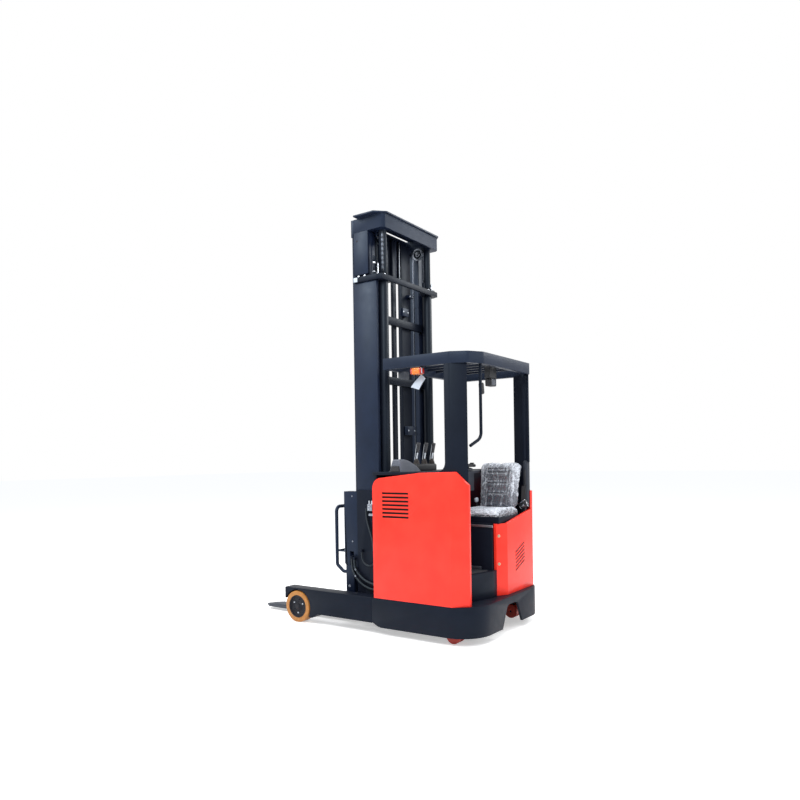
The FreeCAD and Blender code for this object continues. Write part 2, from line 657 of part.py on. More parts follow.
def controls():
    """Cover hood and lever bank on the deck, steering console behind them."""
    hood_x = (back(s.deck_back + s.hood_setback),
              back(s.deck_back + s.hood_setback + s.hood_length))
    hood_y = half_width - s.hood_inset
    top = s.deck_top
    wide, high = s.hood_width, s.hood_height
    hood = prism("hood_form", "x",
                 [(hood_y, top), (hood_y + wide * 0.25, top + high * 0.45),
                  (hood_y + wide * 0.52, top + high * 0.82), (hood_y + wide * 0.78, top + high),
                  (hood_y + wide, top + high), (hood_y + wide, top)], hood_x)
    round_corners(hood, "x", s.hood_edge, [(hood_y + wide, top + high)])
    piece(hood, "deck_hood")
    lever_x = back(s.deck_back + s.lever_setback)
    block_top = top + s.lever_block
    block = box("lever_box", (lever_x - s.lever_block, lever_x + s.lever_block),
                (-s.lever_block, s.lever_pitch * (s.lever_count - 1) + s.lever_block),
                (top, block_top))
    levers, grips = [], []
    for n in range(int(s.lever_count.value)):
        foot = (lever_x, s.lever_pitch * n)
        levers.append(rod("lever", "z", s.lever_radius, (block_top, top + s.lever_height), foot))
        grips.append(rod("grip", "z", s.lever_radius * 2,
                         (top + s.lever_height - s.grip_length, top + s.lever_height), foot))
    piece(fuse("lever_bank_all", block, *levers, *grips), "lever_bank")
    console_end = back(s.cab_back + s.console_depth)
    middle = s.console_shift
    high = s.deck_top - s.console_drop
    console = box("console_box", (back(s.cab_back), console_end),
                  (middle - s.console_width / 2, middle + s.console_width / 2),
                  (high - s.console_height, high))
    far_side = middle - s.console_width / 2
    shelf = box("console_shelf", (back(s.cab_back), console_end),
                (far_side - s.shelf_reach, far_side), (high - s.shelf_thick, high))
    piece(fuse("console_all", console, shelf), "steering_console")
    centre = console_end + s.steer_wheel_radius / 3
    disc_low, disc_top = high + s.steer_rise, high + s.steer_rise + s.steer_disc
    stem = rod("steer_stem", "z", s.steer_stem, (high, disc_low), (centre, middle))
    disc = rod("steer_disc", "z", s.steer_wheel_radius, (disc_low, disc_top), (centre, middle))
    knob = rod("steer_knob", "z", s.knob_radius, (disc_top, disc_top + s.knob_height),
               (centre - s.knob_offset, middle))
    piece(fuse("steer_wheel_all", stem, disc, knob), "steering_wheel")


def seat():
    """Side-facing seat on its box, with the belt housing beside its back."""
    seat_x = (back(s.seat_front_back), back(s.seat_front_back + s.seat_width))
    seat_y = (-s.seat_rear, s.seat_depth - s.seat_rear)
    pedestal = box("seat_box", (seat_x[0] - s.floor_plate, seat_x[1] + s.pedestal_inset),
                   (seat_y[0] - s.pedestal_rear, s.well_half - s.floor_plate),
                   (s.skirt_top + s.motor_height, pan_low))
    pan = box("seat_pan", seat_x, seat_y, (pan_low, pan_low + s.pan_thick))
    piece(fuse("seat_stand", pedestal, pan), "seat_base")
    cushion = prism("cushion_form", "z", [(seat_x[0], seat_y[0]), (seat_x[0], seat_y[1]),
                                          (seat_x[1], seat_y[1]), (seat_x[1], seat_y[0])],
                    (cushion_low, s.cushion_top))
    round_corners(cushion, "z", s.cushion_corner, [(x, y) for x in seat_x for y in seat_y])
    piece(cushion, "seat_cushion")
    foot, lean, thick = s.cushion_top + s.seat_gap, s.backrest_lean, s.backrest_thick
    rest = prism("backrest_form", "x",
                 [(seat_y[0] + thick, foot), (seat_y[0] + thick - lean, s.backrest_top),
                  (seat_y[0] - lean, s.backrest_top), (seat_y[0], foot)],
                 (seat_x[1] + s.backrest_inset, seat_x[0] - s.backrest_inset))
    round_corners(rest, "x", s.backrest_corner, [(seat_y[0] + thick - lean, s.backrest_top),
                                                 (seat_y[0] - lean, s.backrest_top)])
    piece(rest, "seat_back")
    inside = back(s.tail_face_back - s.cover_wall)
    brow = s.tail_high_top + s.side_gap
    foot = box("pod_foot", (inside, inside + s.pod_depth),
               (-s.pod_inner - s.pod_width / 2, -s.pod_inner), (s.tail_low_top, brow))
    head = box("pod_head", (inside - s.pod_depth / 2, inside + s.pod_depth / 2),
               (-s.pod_inner - s.pod_width, -s.pod_inner), (brow, s.pod_top))
    piece(fuse("pod_whole", foot, head), "belt_pod")


# ---------------------------------------------------------------- overhead guard
def guard_outline(inset):
    """The guard's plan, drawn in by so much all round; slanted sides shift by less."""
    half, rear_half = guard_half - inset, half_width - s.guard_rear_inset - inset * 0.6
    facet_half = half_width - s.guard_facet_inset - inset * 0.8
    rear = back(s.guard_rear_back) + inset
    facet = back(s.guard_facet_back) + inset * 0.6
    bend = back(s.guard_bend_back) + inset * 0.3
    front = back(s.guard_front_back) - inset
    left = [(front, half), (bend, half), (facet, facet_half), (rear, rear_half)]
    right = [(x, -y) for x, y in reversed(left)]
    return left + right


def guard_post(side, name):
    """A folded post that follows the guard's side and its first facet."""
    wall, fold = s.post_wall, s.post_fold
    front = back(s.post_front_back if side > 0 else s.post_right_back)
    bend = back(s.guard_bend_back)
    facet, facet_half = back(s.post_facet_back), half_width - s.post_facet_inset
    plan = [(front, guard_half), (bend, guard_half), (facet, facet_half),
            (facet + fold, facet_half - wall / 2), (bend + fold, guard_half - wall),
            (front, guard_half - wall)]
    return prism(f"{name}_form", "z", [(x, side * y) for x, y in plan],
                 (s.skirt_top, s.guard_top - s.guard_depth))


def overhead_guard():
    """Posts at the rear corners, a roof frame that reaches forward from them, and its bars."""
    posts = [guard_post(1, "post_left"), guard_post(-1, "post_right")]
    piece(group("posts", *posts), "guard_posts")
    low, rim = s.guard_top - s.guard_depth, s.roof_rim
    whole = prism("rim_block", "z", guard_outline(as_size(0)), (low, s.guard_top))
    room = prism("rim_room", "z", guard_outline(rim), (low - rim, s.guard_top + rim))
    piece(cut("roof_frame", whole, room), "guard_roof")
    pitch = (guard_half - rim) * 2 / (s.guard_bars + 1)
    under_bars = low + s.guard_depth / 2
    bars = []
    for n in range(int(s.guard_bars.value)):
        y = (n + 1) * pitch - (guard_half - rim)
        run = box("roof_bar", (back(s.guard_rear_back), back(s.guard_front_back)),
                  (y - s.guard_bar / 2, y + s.guard_bar / 2),
                  (under_bars, s.guard_top - s.guard_bar_drop))
        space = prism("bar_room", "z", guard_outline(rim), (under_bars, s.guard_top))
        bars.append(common("bar_in_rim", run, space))
    piece(group("bars", *bars), "guard_bars")
    x = back(s.guard_rear_back) + s.grab_inset
    y = half_width - s.guard_rear_inset - rim / 2
    corner = low - s.grab_drop
    rail = tube_along("rail_tube", s.grab_radius,
                      [(x, y, low), (x, y, corner),
                       (x + s.grab_run, y + s.grab_side, corner - s.grab_fall)], [s.grab_bend.value])
    piece(rail, "grab_rail")
    lamp_x = back(s.guard_front_back + s.beacon_setback)
    piece(box("beacon_box", (lamp_x - s.beacon_length, lamp_x),
              (guard_half - s.beacon_width, guard_half), (low - s.beacon_height, low)),
          "amber_lamp")
    lamp_x = back(s.guard_bend_back + s.lamp_width / 2)
    piece(group("lamps",
                box("work_lamp", (lamp_x, lamp_x + s.lamp_width / 2),
                    (-s.lamp_width / 2, s.lamp_width / 2), (low - s.lamp_drop, under_bars)),
                box("eye_lamp", (lamp_x, lamp_x + s.eye_width),
                    (pitch + s.side_gap, pitch + s.side_gap + s.eye_width * 1.5),
                    (low - s.eye_drop, under_bars))),
          "roof_lamps")


# ---------------------------------------------------------------- reach carriage, outer mast
def reach_carriage():
    """Cross base, side plates and rollers that run in the arms' lips."""
    face = outer_half
    cheek = face + s.reach_plate
    rear, front = back(mast_rear_back - s.base_inset), back(outer_front_back)
    top = s.base_low + s.base_plate
    base = box("carriage_base", (rear, front - s.side_gap), (-face, face), (s.base_low, top))
    parts = [base]
    roller = s.rail_gap / 2 - s.seat_gap
    height = s.rail_low + s.rail_gap / 2
    arm_inner = half_width - s.arm_width
    for side in (1, -1):
        parts.append(box("cheek", (rear, front), mirror(side, face, cheek),
                         (s.base_low, s.reach_plate_top)))
        for step in (0, 1):
            x = front - roller - s.reach_roller_span * step
            parts.append(rod("roller_pin", "y", s.load_axle_radius,
                             mirror(side, face + s.reach_plate / 2, arm_inner - s.bracket),
                             (x, height)))
            parts.append(rod("roller", "y", roller,
                             mirror(side, arm_inner - s.rail_lip, arm_inner - s.side_gap),
                             (x, height)))
    parts.append(box("reach_lug", (rear, rear + s.block),
                     (s.reach_cylinder_shift - s.block, s.reach_cylinder_shift + s.block),
                     (top - s.side_gap, s.reach_cylinder_height + s.block)))
    parts.append(box("hose_bracket", (front - s.block, front + s.hose_reach),
                     (cheek - s.reach_plate / 2, cheek), (s.hose_bracket, s.hose_bracket + s.block)))
    for name, (_, _, _, _, runs) in HOSES.items():
        route = hose_route(name)
        parts.append(hose_fitting(f"{name}_start", route[0], 180))
        parts.append(hose_fitting(f"{name}_end", route[-1], runs[-1][1]))
    piece(fuse("carriage_frame", *parts), "reach_carriage")


def outer_mast():
    """Two lipped channels, the bow that ties their heads, and the lift barrels."""
    rear, front = back(outer_rear_back), back(outer_front_back)
    foot = s.base_low + s.base_plate
    bow_top = outer_top + s.bow_height
    through = (outer_top - s.web, bow_top + s.web)
    rails = []
    for side in (1, -1):
        out, web_in, lip = outer_half, outer_half - s.web, outer_half - s.lip
        plan = [(rear, out), (front, out), (front, lip), (front - s.web, lip),
                (front - s.web, web_in), (rear + s.web, web_in), (rear + s.web, lip), (rear, lip)]
        rails.append(prism("outer_rail", "z", [(x, side * y) for x, y in plan],
                           (foot, outer_top)))
    piece(group("outer_pair", *rails), "outer_rails")
    tail = back(mast_rear_back)
    half = outer_half + s.bow_proud
    bow = prism("bow_block", "z", [(front, -half), (front, half), (tail, half), (tail, -half)],
                (outer_top, bow_top))
    round_corners(bow, "z", s.bow_corner, [(tail, half), (tail, -half)])
    room = box("bow_room", (tail + s.bow_wall, front + s.web),
               (inner_half + s.side_gap, -inner_half - s.side_gap), through)
    ring = cut("bow", bow, room)
    ears = [box("ear", (tail, back(barrel_back) + s.barrel_radius),
                mirror(side, barrel_half - s.barrel_radius, outer_half),
                (outer_top, bow_top)) for side in (1, -1)]
    holes = [rod("rod_hole", "z", s.rod_radius + s.bearing_clearance, through,
                 (back(barrel_back), side * barrel_half)) for side in (1, -1)]
    strand = back(pulley_back) - s.pulley_radius - s.chain_thick / 2
    anchors = [rod("anchor", "z", s.pin_radius, (outer_top + s.bow_height / 2, anchor_top),
                   (strand, side * pulley_half)) for side in (1, -1)]
    lugs = [box("anchor_lug", (tail, strand + s.bow_wall),
                mirror(side, pulley_half - s.bow_wall, barrel_half - s.barrel_radius / 2),
                (outer_top, bow_top)) for side in (1, -1)]
    piece(cut("bow_whole", fuse("bow_parts", ring, *ears, *lugs, *anchors), *holes), "outer_bow")
    barrels = []
    for side in (1, -1):
        place = (back(barrel_back), side * barrel_half)
        barrels.append(cut("barrel",
                           rod("barrel_tube", "z", s.barrel_radius, (foot, outer_top), place),
                           rod("barrel_bore", "z", s.rod_radius + s.bearing_clearance,
                               (foot + s.web, outer_top + s.web), place)))
    piece(group("barrels", *barrels), "lift_barrels")


def inner_mast():
    """Two channels with the capped head, cross bars, hose shield, pulleys, chains, lift rods."""
    front, rear = back(inner_front_back), back(inner_rear_back)
    foot = s.base_low + s.base_plate + s.seat_gap
    rails = []
    for side in (1, -1):
        out, web_in, lip = inner_half, inner_half - s.web, inner_half - s.inner_flange
        plan = [(rear, out), (front, out), (front, lip), (front - s.web, lip),
                (front - s.web, web_in), (rear + s.web, web_in), (rear + s.web, lip), (rear, lip)]
        rails.append(prism("inner_rail", "z", [(x, side * y) for x, y in plan],
                           (foot, inner_top)))
    piece(group("inner_pair", *rails), "inner_rails")
    tail, nose = back(mast_rear_back + s.cap_reach), back(outer_front_back)
    half, bevel, lap = outer_half, s.cap_bevel, s.cap_lap
    under_lid = s.mast_top - s.cap_plate
    plan = [(nose, -half), (nose, half), (tail + bevel, half), (tail, half - bevel),
            (tail, bevel - half), (tail + bevel, -half)]
    cap = prism("cap_box", "z", plan, (inner_top, under_lid))
    room = inner_half - s.inner_flange
    hollow = box("cap_hollow", (tail + s.web, nose - s.web), (room, -room),
                 (inner_top - s.web, under_lid))
    wide, lid_rear, turn = half + s.lid_side, tail - lap, s.lid_bevel
    lid = prism("cap_lid", "z",
                [(nose - lap * 2, -wide), (nose - lap * 2, wide), (lid_rear + turn, wide),
                 (lid_rear, wide - turn), (lid_rear, turn - wide), (lid_rear + turn, -wide)],
                (under_lid, s.mast_top))
    socket_low = outer_top + s.bow_height + s.web
    sockets = [rod("rod_socket", "z", s.rod_radius + s.socket_wall, (socket_low, inner_top),
                   (back(barrel_back), side * barrel_half)) for side in (1, -1)]
    piece(fuse("cap_whole", cut("cap_shell", cap, hollow), lid, *sockets), "inner_cap")
    bars = []
    for low in (outer_top - s.high_bar, outer_top - s.mid_bar, outer_top - s.low_bar, s.foot_bar):
        bars.append(box("cross_bar", (rear - s.bar_depth, rear), (-inner_half, inner_half),
                        (low, low + s.bar_height)))
    middle = s.shield_shift
    shield = box("hose_shield", (rear, rear + s.shield_depth),
                 (middle - s.shield_width / 2, middle + s.shield_width / 2),
                 (s.foot_bar, inner_top))
    ducts = [box("hose_duct", (rear, rear + s.duct_depth),
                 (y - s.duct_width / 2, y + s.duct_width / 2), (s.foot_bar, inner_top))
             for y in (s.duct_near, s.duct_far)]
    piece(fuse("cross_parts", shield, *ducts, *bars), "inner_crossbars")
    rods = [rod("lift_rod", "z", s.rod_radius, (s.foot_bar, socket_low),
                (back(barrel_back), side * barrel_half)) for side in (1, -1)]
    piece(group("rods", *rods), "lift_rods")
    chains = []
    reach = s.pulley_radius + s.chain_thick
    x = back(pulley_back)
    for side in (1, -1):
        near, far = pulley_half - s.chain_width / 2, pulley_half + s.chain_width / 2
        ends = mirror(side, near, far)
        wheel = rod("pulley", "y", s.pulley_radius, ends, (x, pulley_height))
        outer = inner_half - s.inner_flange + s.web
        pin = rod("pulley_pin", "y", s.pin_radius, mirror(side, pulley_half - s.web, outer),
                  (x, pulley_height))
        hanger = box("pulley_hanger", (x - s.pin_radius, x + s.pin_radius),
                     mirror(side, outer - s.bracket, outer),
                     (pulley_height - s.pin_radius, inner_top))
        loop = rod("chain_arc", "y", reach, ends, (x, pulley_height))
        lower = box("chain_under", (x - reach * 2, x + reach * 2),
                    mirror(side, near - s.web, far + s.web),
                    (pulley_height - reach * 2, pulley_height))
        arc = cut("chain_top", loop, lower)
        runs = [box("chain_run", (x + way * s.pulley_radius, x + way * reach), ends,
                    (low, pulley_height))
                for way, low in ((1, s.carriage_top), (-1, anchor_top + s.seat_gap))]
        chains.append(fuse("chain", wheel, pin, hanger, arc, *runs))
    piece(group("chains", *chains), "lift_chains")


# ---------------------------------------------------------------- fork carriage
def fork_carriage():
    """Roller plates inside the inner rails, side columns in front and the two fork bars."""
    rear = back(column_rear_back)
    channel = (back(inner_rear_back) + s.web, back(inner_front_back) - s.web)
    roller = (s.inner_depth - s.web * 2) / 2 - s.seat_gap
    roller_x = (channel[0] + channel[1]) / 2
    plate_out = inner_half - s.inner_flange - s.side_gap * 2
    parts = []
    for side in (1, -1):
        parts.append(box("roller_plate", (channel[0], rear),
                         mirror(side, plate_out - s.carriage_plate, plate_out),
                         (s.carriage_low, s.carriage_top)))
        for z in (s.carriage_low + roller, s.carriage_top - roller):
            parts.append(rod("carriage_pin", "y", s.load_axle_radius,
                             mirror(side, plate_out, inner_half - s.web - s.side_gap * 2),
                             (roller_x, z)))
            parts.append(rod("carriage_roller", "y", roller,
                             mirror(side, inner_half - s.inner_flange - s.side_gap / 2,
                                    inner_half - s.web - s.side_gap), (roller_x, z)))
        front_strand = back(pulley_back) + s.pulley_radius
        parts.append(box("chain_lug", (front_strand - s.bracket, front_strand + s.bracket * 2),
                         mirror(side, pulley_half + s.chain_width / 2 + s.side_gap,
                                plate_out - s.carriage_plate),
                         (s.carriage_top - s.web * 2, s.carriage_top)))
    bars_front = back(bars_front_back)
    parts.append(box("back_plate", (rear, rear + s.carriage_plate), (-plate_out, plate_out),
                     (s.carriage_low, s.carriage_top)))
    for low in (s.bar_low_bottom, s.bar_high_bottom):
        parts.append(box("bar_link", (rear, bars_front - s.fork_bar), (-plate_out, plate_out),
                         (low, low + s.fork_bar_height)))
        parts.append(box("fork_bar", (bars_front - s.fork_bar, bars_front),
                         (-column_half, column_half), (low, low + s.fork_bar_height)))
    piece(fuse("carriage_parts", *parts), "fork_carriage")
    columns = []
    front = back(column_front_back)
    slim = column_half - fork_half - s.side_gap / 2
    for side in (1, -1):
        column = prism("column_form", "y",
                       [(rear, s.column_low), (rear, s.column_top), (front, s.column_top),
                        (front, s.column_low + s.column_chamfer),
                        (front - s.column_chamfer, s.column_low)],
                       mirror(side, column_half - slim, column_half))
        wide = box("column_wide", (rear, front),
                   mirror(side, column_half - s.column_width, column_half - slim),
                   (s.fork_shank_top + s.side_gap, s.column_top))
        over = column_half + s.side_gap
        bay = box("bar_bay", (rear - s.side_gap, bars_front), (-over, over),
                  (s.bar_high_bottom, s.bar_high_bottom + s.fork_bar_height))
        flange = box("column_flange", (rear, rear - s.column_flange),
                     mirror(side, inner_half + s.side_gap, column_half),
                     (s.column_low, s.column_top))
        lower = box("column_foot", (rear, bars_front - s.seat_gap),
                    mirror(side, column_half - slim, column_half),
                    (s.bar_low_bottom + s.fork_bar_height, s.column_low))
        columns.append(fuse("column", cut("column_cut", column, bay), wide, flange, lower))
    piece(group("columns", *columns), "carriage_columns")


def forks():
    """Two forged forks hung on the bars."""
    pair = []
    heel = back(bars_front_back)
    shank = heel + s.fork_thick
    tip = shank + s.fork_length
    top = s.fork_ground + s.fork_thick
    for side in (1, -1):
        inside = fork_half - s.fork_width
        profile = prism("fork_form", "y",
                        [(heel, s.fork_ground), (heel, s.fork_shank_top),
                         (shank, s.fork_shank_top), (shank, top), (tip - s.fork_taper, top),
                         (tip, s.fork_ground + s.fork_tip_thick * 1.5),
                         (tip, s.fork_ground + s.fork_tip_thick / 2),
                         (tip - s.fork_nose, s.fork_ground)],
                        mirror(side, inside, fork_half))
        pointed = prism("fork_plan", "z",
                        [(x, side * y) for x, y in
                         [(heel, inside), (heel, fork_half), (tip - s.fork_nose, fork_half),
                          (tip, fork_half - s.fork_width / 3), (tip, inside + s.fork_width / 3),
                          (tip - s.fork_nose, inside)]],
                        (s.fork_ground, s.fork_shank_top))
        pair.append(common("fork", profile, pointed))
    piece(group("fork_pair", *pair), "forks")


def load_backrest():
    """A bent tube hoop in front of the columns with one bar across it."""
    front = back(column_front_back)
    x = front + s.rest_reach - s.rest_radius
    foot = back(bars_front_back)
    low, top = s.rest_low, s.rest_top
    half = column_half - s.rest_inset
    heel = front + s.block
    hoop = tube_along("rest_hoop", s.rest_radius,
                      [(foot, half, s.rest_foot), (heel, half, s.rest_foot), (x, half, low),
                       (x, half, top), (x, -half, top), (x, -half, low),
                       (heel, -half, s.rest_foot), (foot, -half, s.rest_foot)],
                      [s.rest_radius.value * 2] * 2 + [s.rest_bend.value] * 2
                      + [s.rest_radius.value * 2] * 2)
    bar = rod("rest_bar", "y", s.rest_radius / 2, (-half, half), (x, s.rest_mid))
    ties = [rod("rest_tie", "x", s.rest_radius / 2, (front + s.seat_gap, x),
                (side * half, s.rest_mid)) for side in (1, -1)]
    piece(fuse("rest_whole", hoop, bar, *ties), "load_backrest")


def hose_route(name):
    """A hose's points: distance behind the axle, distance from the middle plane, height."""
    radius, stand_off, ahead, height, runs = HOSES[name]
    aside = outer_half + s.reach_plate + stand_off + radius
    spots = [(mast_rear_back - ahead, aside, as_size(height))]
    for length, turn in runs:
        ahead -= length * math.sin(math.radians(turn))
        height -= length * math.cos(math.radians(turn))
        spots.append((mast_rear_back - round(ahead, 3), aside, as_size(round(height, 3))))
    return spots


def hose_fitting(name, spot, turn):
    """The block on the carriage that a hose's end meets face to face."""
    behind, aside, height = spot
    hold = s.fitting / 2
    x, z = (back(behind + hold), back(behind - hold)), (height - s.fitting, height)
    if turn == 90:
        x, z = (back(behind + s.fitting), back(behind)), (height - hold, height + hold)
    elif turn == 180:
        z = (height, height + s.fitting)
    return box(f"{name}_fitting", x, (outer_half + s.reach_plate / 2, aside + hold), z)


def hoses():
    """Hydraulic hoses that hang in loops beside the reach carriage's left cheek."""
    for name in HOSES:
        points = [(back(behind), aside, height) for behind, aside, height in hose_route(name)]
        places = [Vector(*[as_size(c).value for c in point]) for point in points]
        bends = []
        for n in range(1, len(places) - 1):
            into, away = places[n] - places[n - 1], places[n + 1] - places[n]
            shorter = min(into.Length, away.Length)
            bends.append(0.45 * shorter / math.tan(into.getAngle(away) / 2))
        print(name, "bend radii", [round(radius) for radius in bends])
        print(name, "route", [tuple(round(c / 1000, 4) for c in place) for place in places])
        piece(tube_along(f"{name}_tube", HOSES[name][0], points, bends), name)


# ---------------------------------------------------------------- build, check, write
base_skirt()
for way, word in ((1, "left"), (-1, "right")):
    wheel_arm(way, f"wheel_arm_{word}")
    load_wheel(way, word)
    balance_wheel(way, word)
    side_panel(way, f"side_panel_{word}")
drive_unit()
reach_cylinder()
rear_cover()
cab_tub()
deck()
controls()
seat()
overhead_guard()
reach_carriage()
outer_mast()
inner_mast()
fork_carriage()
forks()
load_backrest()
hoses()
doc.recompute()

for thing in doc.Objects:
    if "Invalid" in thing.State or "Error" in thing.State:
        raise RuntimeError(f"{thing.Name} ({thing.Label}) failed: {thing.State}")
for thing in PIECES:
    if thing.Shape.isNull() or not thing.Shape.isValid():
        raise RuntimeError(f"{thing.Label} has no valid shape")

os.makedirs("parts", exist_ok=True)
for thing in PIECES:
    thing.Shape.exportStep(f"parts/{thing.Label}.step")
    print(thing.Label, len(thing.Shape.Solids), round(thing.Shape.Volume / 1e6, 2), "litres")
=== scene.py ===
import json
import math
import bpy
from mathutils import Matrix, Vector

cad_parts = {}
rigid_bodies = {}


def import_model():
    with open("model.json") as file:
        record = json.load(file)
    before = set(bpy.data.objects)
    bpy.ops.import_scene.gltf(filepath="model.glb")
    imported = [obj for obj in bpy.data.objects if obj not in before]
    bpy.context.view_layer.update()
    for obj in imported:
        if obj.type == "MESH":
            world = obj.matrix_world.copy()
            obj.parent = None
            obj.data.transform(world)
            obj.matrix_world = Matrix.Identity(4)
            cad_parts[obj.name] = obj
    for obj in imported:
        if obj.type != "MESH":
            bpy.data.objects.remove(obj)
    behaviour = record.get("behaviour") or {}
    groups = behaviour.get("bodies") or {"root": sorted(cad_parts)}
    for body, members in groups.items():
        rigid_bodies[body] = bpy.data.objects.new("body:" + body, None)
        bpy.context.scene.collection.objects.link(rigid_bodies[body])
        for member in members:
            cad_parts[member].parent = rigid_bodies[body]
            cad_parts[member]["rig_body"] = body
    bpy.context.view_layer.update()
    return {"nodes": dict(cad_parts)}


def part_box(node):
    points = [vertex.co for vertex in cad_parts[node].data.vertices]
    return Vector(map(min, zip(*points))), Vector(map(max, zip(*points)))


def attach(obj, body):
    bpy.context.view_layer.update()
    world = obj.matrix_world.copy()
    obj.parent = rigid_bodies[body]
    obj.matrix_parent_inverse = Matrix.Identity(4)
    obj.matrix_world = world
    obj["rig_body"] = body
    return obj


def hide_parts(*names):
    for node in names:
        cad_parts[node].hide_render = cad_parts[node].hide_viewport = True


bl_info = {
    "name": "Reach Truck",
    "version": (1, 0, 0),
    "blender": (4, 5, 0),
    "location": "View3D > Sidebar > Reach Truck",
    "description": "Paint, steel, hoses, chains, controls and seat of the reach truck",
    "category": "Object",
}

import bmesh
import bpy
import numpy as np
from bpy.props import FloatProperty, FloatVectorProperty, IntProperty, PointerProperty
from mathutils import Matrix, Vector, noise

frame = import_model()
MM = 0.001


# ---------------------------------------------------------------- colours and sizes
def linear(text):
    """The linear colour of an sRGB hex value such as #c0c8d0."""
    parts = [int(text[n:n + 2], 16) / 255 for n in (1, 3, 5)]
    return [c / 12.92 if c <= 0.04045 else ((c + 0.055) / 1.055) ** 2.4 for c in parts]


def colour(name, text, description):
    """A colour property with its default given as an sRGB hex value."""
    return FloatVectorProperty(name=name, description=description, subtype="COLOR", size=3,
                               min=0.0, max=1.0, default=linear(text))


def length(name, default, description):
    """A length property in metres."""
    return FloatProperty(name=name, description=description, default=default, min=0.0,
                         unit="LENGTH")


class TruckColours(bpy.types.PropertyGroup):
    """Colours of the truck's finishes."""

    cover: colour("Cover enamel", "#f53527", "Sprayed enamel on the sheet steel covers")
    frame: colour("Frame powder coat", "#10141f", "Powder coat on chassis, posts and cab")
    # Lighter than the frame's coat of the same powder: painted light, for the light the roof
    # catches
    roof: colour("Guard roof coat", "#1b2232", "Powder coat on the roof of the guard")
    mast: colour("Mast enamel", "#131b2e", "Enamel on the rolled mast profiles")
    fork: colour("Fork paint", "#3a3e46", "Paint on the forged forks")
    tyre: colour("Load tyre", "#ad7436", "Cast polyurethane of the load wheels")
    roller: colour("Roller tyre", "#b23020", "Cast polyurethane of the balance rollers")
    # Red polyurethane darkened to painted shade: the drive wheel sits in the shade of the
    # tail's notch
    drive: colour("Drive tyre", "#6a2620", "Cast polyurethane of the drive wheel")
    hub: colour("Hub paint", "#191b22", "Painted cast iron of the hubs")
    plastic: colour("Moulded plastic", "#16181d", "Levers, console and housings")
    hood: colour("Hood plastic", "#4f545f", "Moulded hood on the deck")
    seat: colour("Seat cover", "#353843", "Vinyl of the seat")
    lens: colour("Beacon lens", "#f5820f", "Amber polycarbonate of the beacon")
    card: colour("Card", "#b7c1cd", "Card tied under the guard")
    battery: colour("Battery case", "#20242c", "Painted steel trough of the battery")


class TruckSizes(bpy.types.PropertyGroup):
    """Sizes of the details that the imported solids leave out."""

    edge: length("Edge rounding", 2.5 * MM, "Rounding of sheared and rolled steel edges")
    fold: length("Fold radius", 14 * MM, "Radius of folded sheet edges")
    bolt: length("Bolt head", 8 * MM, "Size that the wheels' bolt heads are drawn from")
    link: length("Chain pitch", 19.05 * MM, "Pin to pin length of the lifting chain")
    pleat: length("Pleat spacing", 52 * MM, "Distance between the seat's sewn channels")
    film: length("Film stand-off", 5 * MM, "How far the plastic wrap stands off the seat")
    louvres: IntProperty(name="Tail louvres", description="Slanted louvres in the rear cover",
                         default=6, min=0)


# ---------------------------------------------------------------- material building
def add(tree, kind, values=None, links=None, stops=None, **settings):
    """Add a node: settings by keyword, then socket values, links in, and ramp stops."""
    node = tree.nodes.new(kind)
    for name, value in settings.items():
        setattr(node, name, value)
    for socket, value in (values or {}).items():
        node.inputs[socket].default_value = value
    for socket, source in (links or {}).items():
        tree.links.new(source, node.inputs[socket])
    if stops:
        ramp = node.color_ramp.elements
        while len(ramp) < len(stops):
            ramp.new(1.0)
        for element, (place, shade) in zip(ramp, stops):
            element.position = place
            element.color = shade
    return node


def fresh_tree(owner):
    """The emptied node tree of a material or world."""
    owner.use_nodes = True
    owner.node_tree.nodes.clear()
    return owner.node_tree


def shaded(rgb, factor):
    """A colour made darker or lighter, as four numbers."""
    return [min(1.0, c * factor) for c in rgb[:3]] + [1.0]


def surface(name, rgb, low=0.9, high=1.1, patch=120 * MM, **sockets):
    """A material whose colour drifts gently over patches of the given size.

    Returns the material, its tree, the shader and the Object coordinates' socket."""
    material = bpy.data.materials.new(name)
    tree = fresh_tree(material)
    place = add(tree, "ShaderNodeTexCoord").outputs["Object"]
    drift = add(tree, "ShaderNodeTexNoise", {"Scale": 1 / patch, "Detail": 3.0},
                {"Vector": place})
    tint = add(tree, "ShaderNodeValToRGB", links={"Fac": drift.outputs["Fac"]},
               stops=[(0.3, shaded(rgb, low)), (0.7, shaded(rgb, high))])
    shader = add(tree, "ShaderNodeBsdfPrincipled", sockets,
                 {"Base Color": tint.outputs["Color"]})
    add(tree, "ShaderNodeOutputMaterial", links={"Surface": shader.outputs["BSDF"]})
    material.diffuse_color = shaded(rgb, 1.0)
    return material, tree, shader, place


def relief(tree, shader, height, depth, strength=1.0):
    """Let a height pattern bump the shader; depth is the real height in metres."""
    bump = add(tree, "ShaderNodeBump", {"Strength": strength, "Distance": depth},
               {"Height": height})
    tree.links.new(bump.outputs["Normal"], shader.inputs["Normal"])


def rough_between(tree, shader, source, low, high):
    """Drive the roughness from a pattern, from low to high."""
    spread = add(tree, "ShaderNodeMapRange", {"To Min": low, "To Max": high},
                 {"Value": source})
    tree.links.new(spread.outputs["Result"], shader.inputs["Roughness"])


def coated_steel(name, rgb, grain, depth, rough, **sockets):
    """Paint on steel: the film's grain, its soft sheen and thin patches where hands and
    straps have rubbed it."""
    material, tree, shader, place = surface(name, rgb, 0.86, 1.16, 160 * MM, **sockets)
    peel = add(tree, "ShaderNodeTexNoise", {"Scale": 1 / grain, "Detail": 2.0},
               {"Vector": place})
    rub = add(tree, "ShaderNodeTexNoise", {"Scale": 1 / (70 * MM), "Detail": 6.0,
                                           "Roughness": 0.65}, {"Vector": place})
    rough_between(tree, shader, rub.outputs["Fac"], rough - 0.1, rough + 0.12)
    relief(tree, shader, peel.outputs["Fac"], depth)
    return material


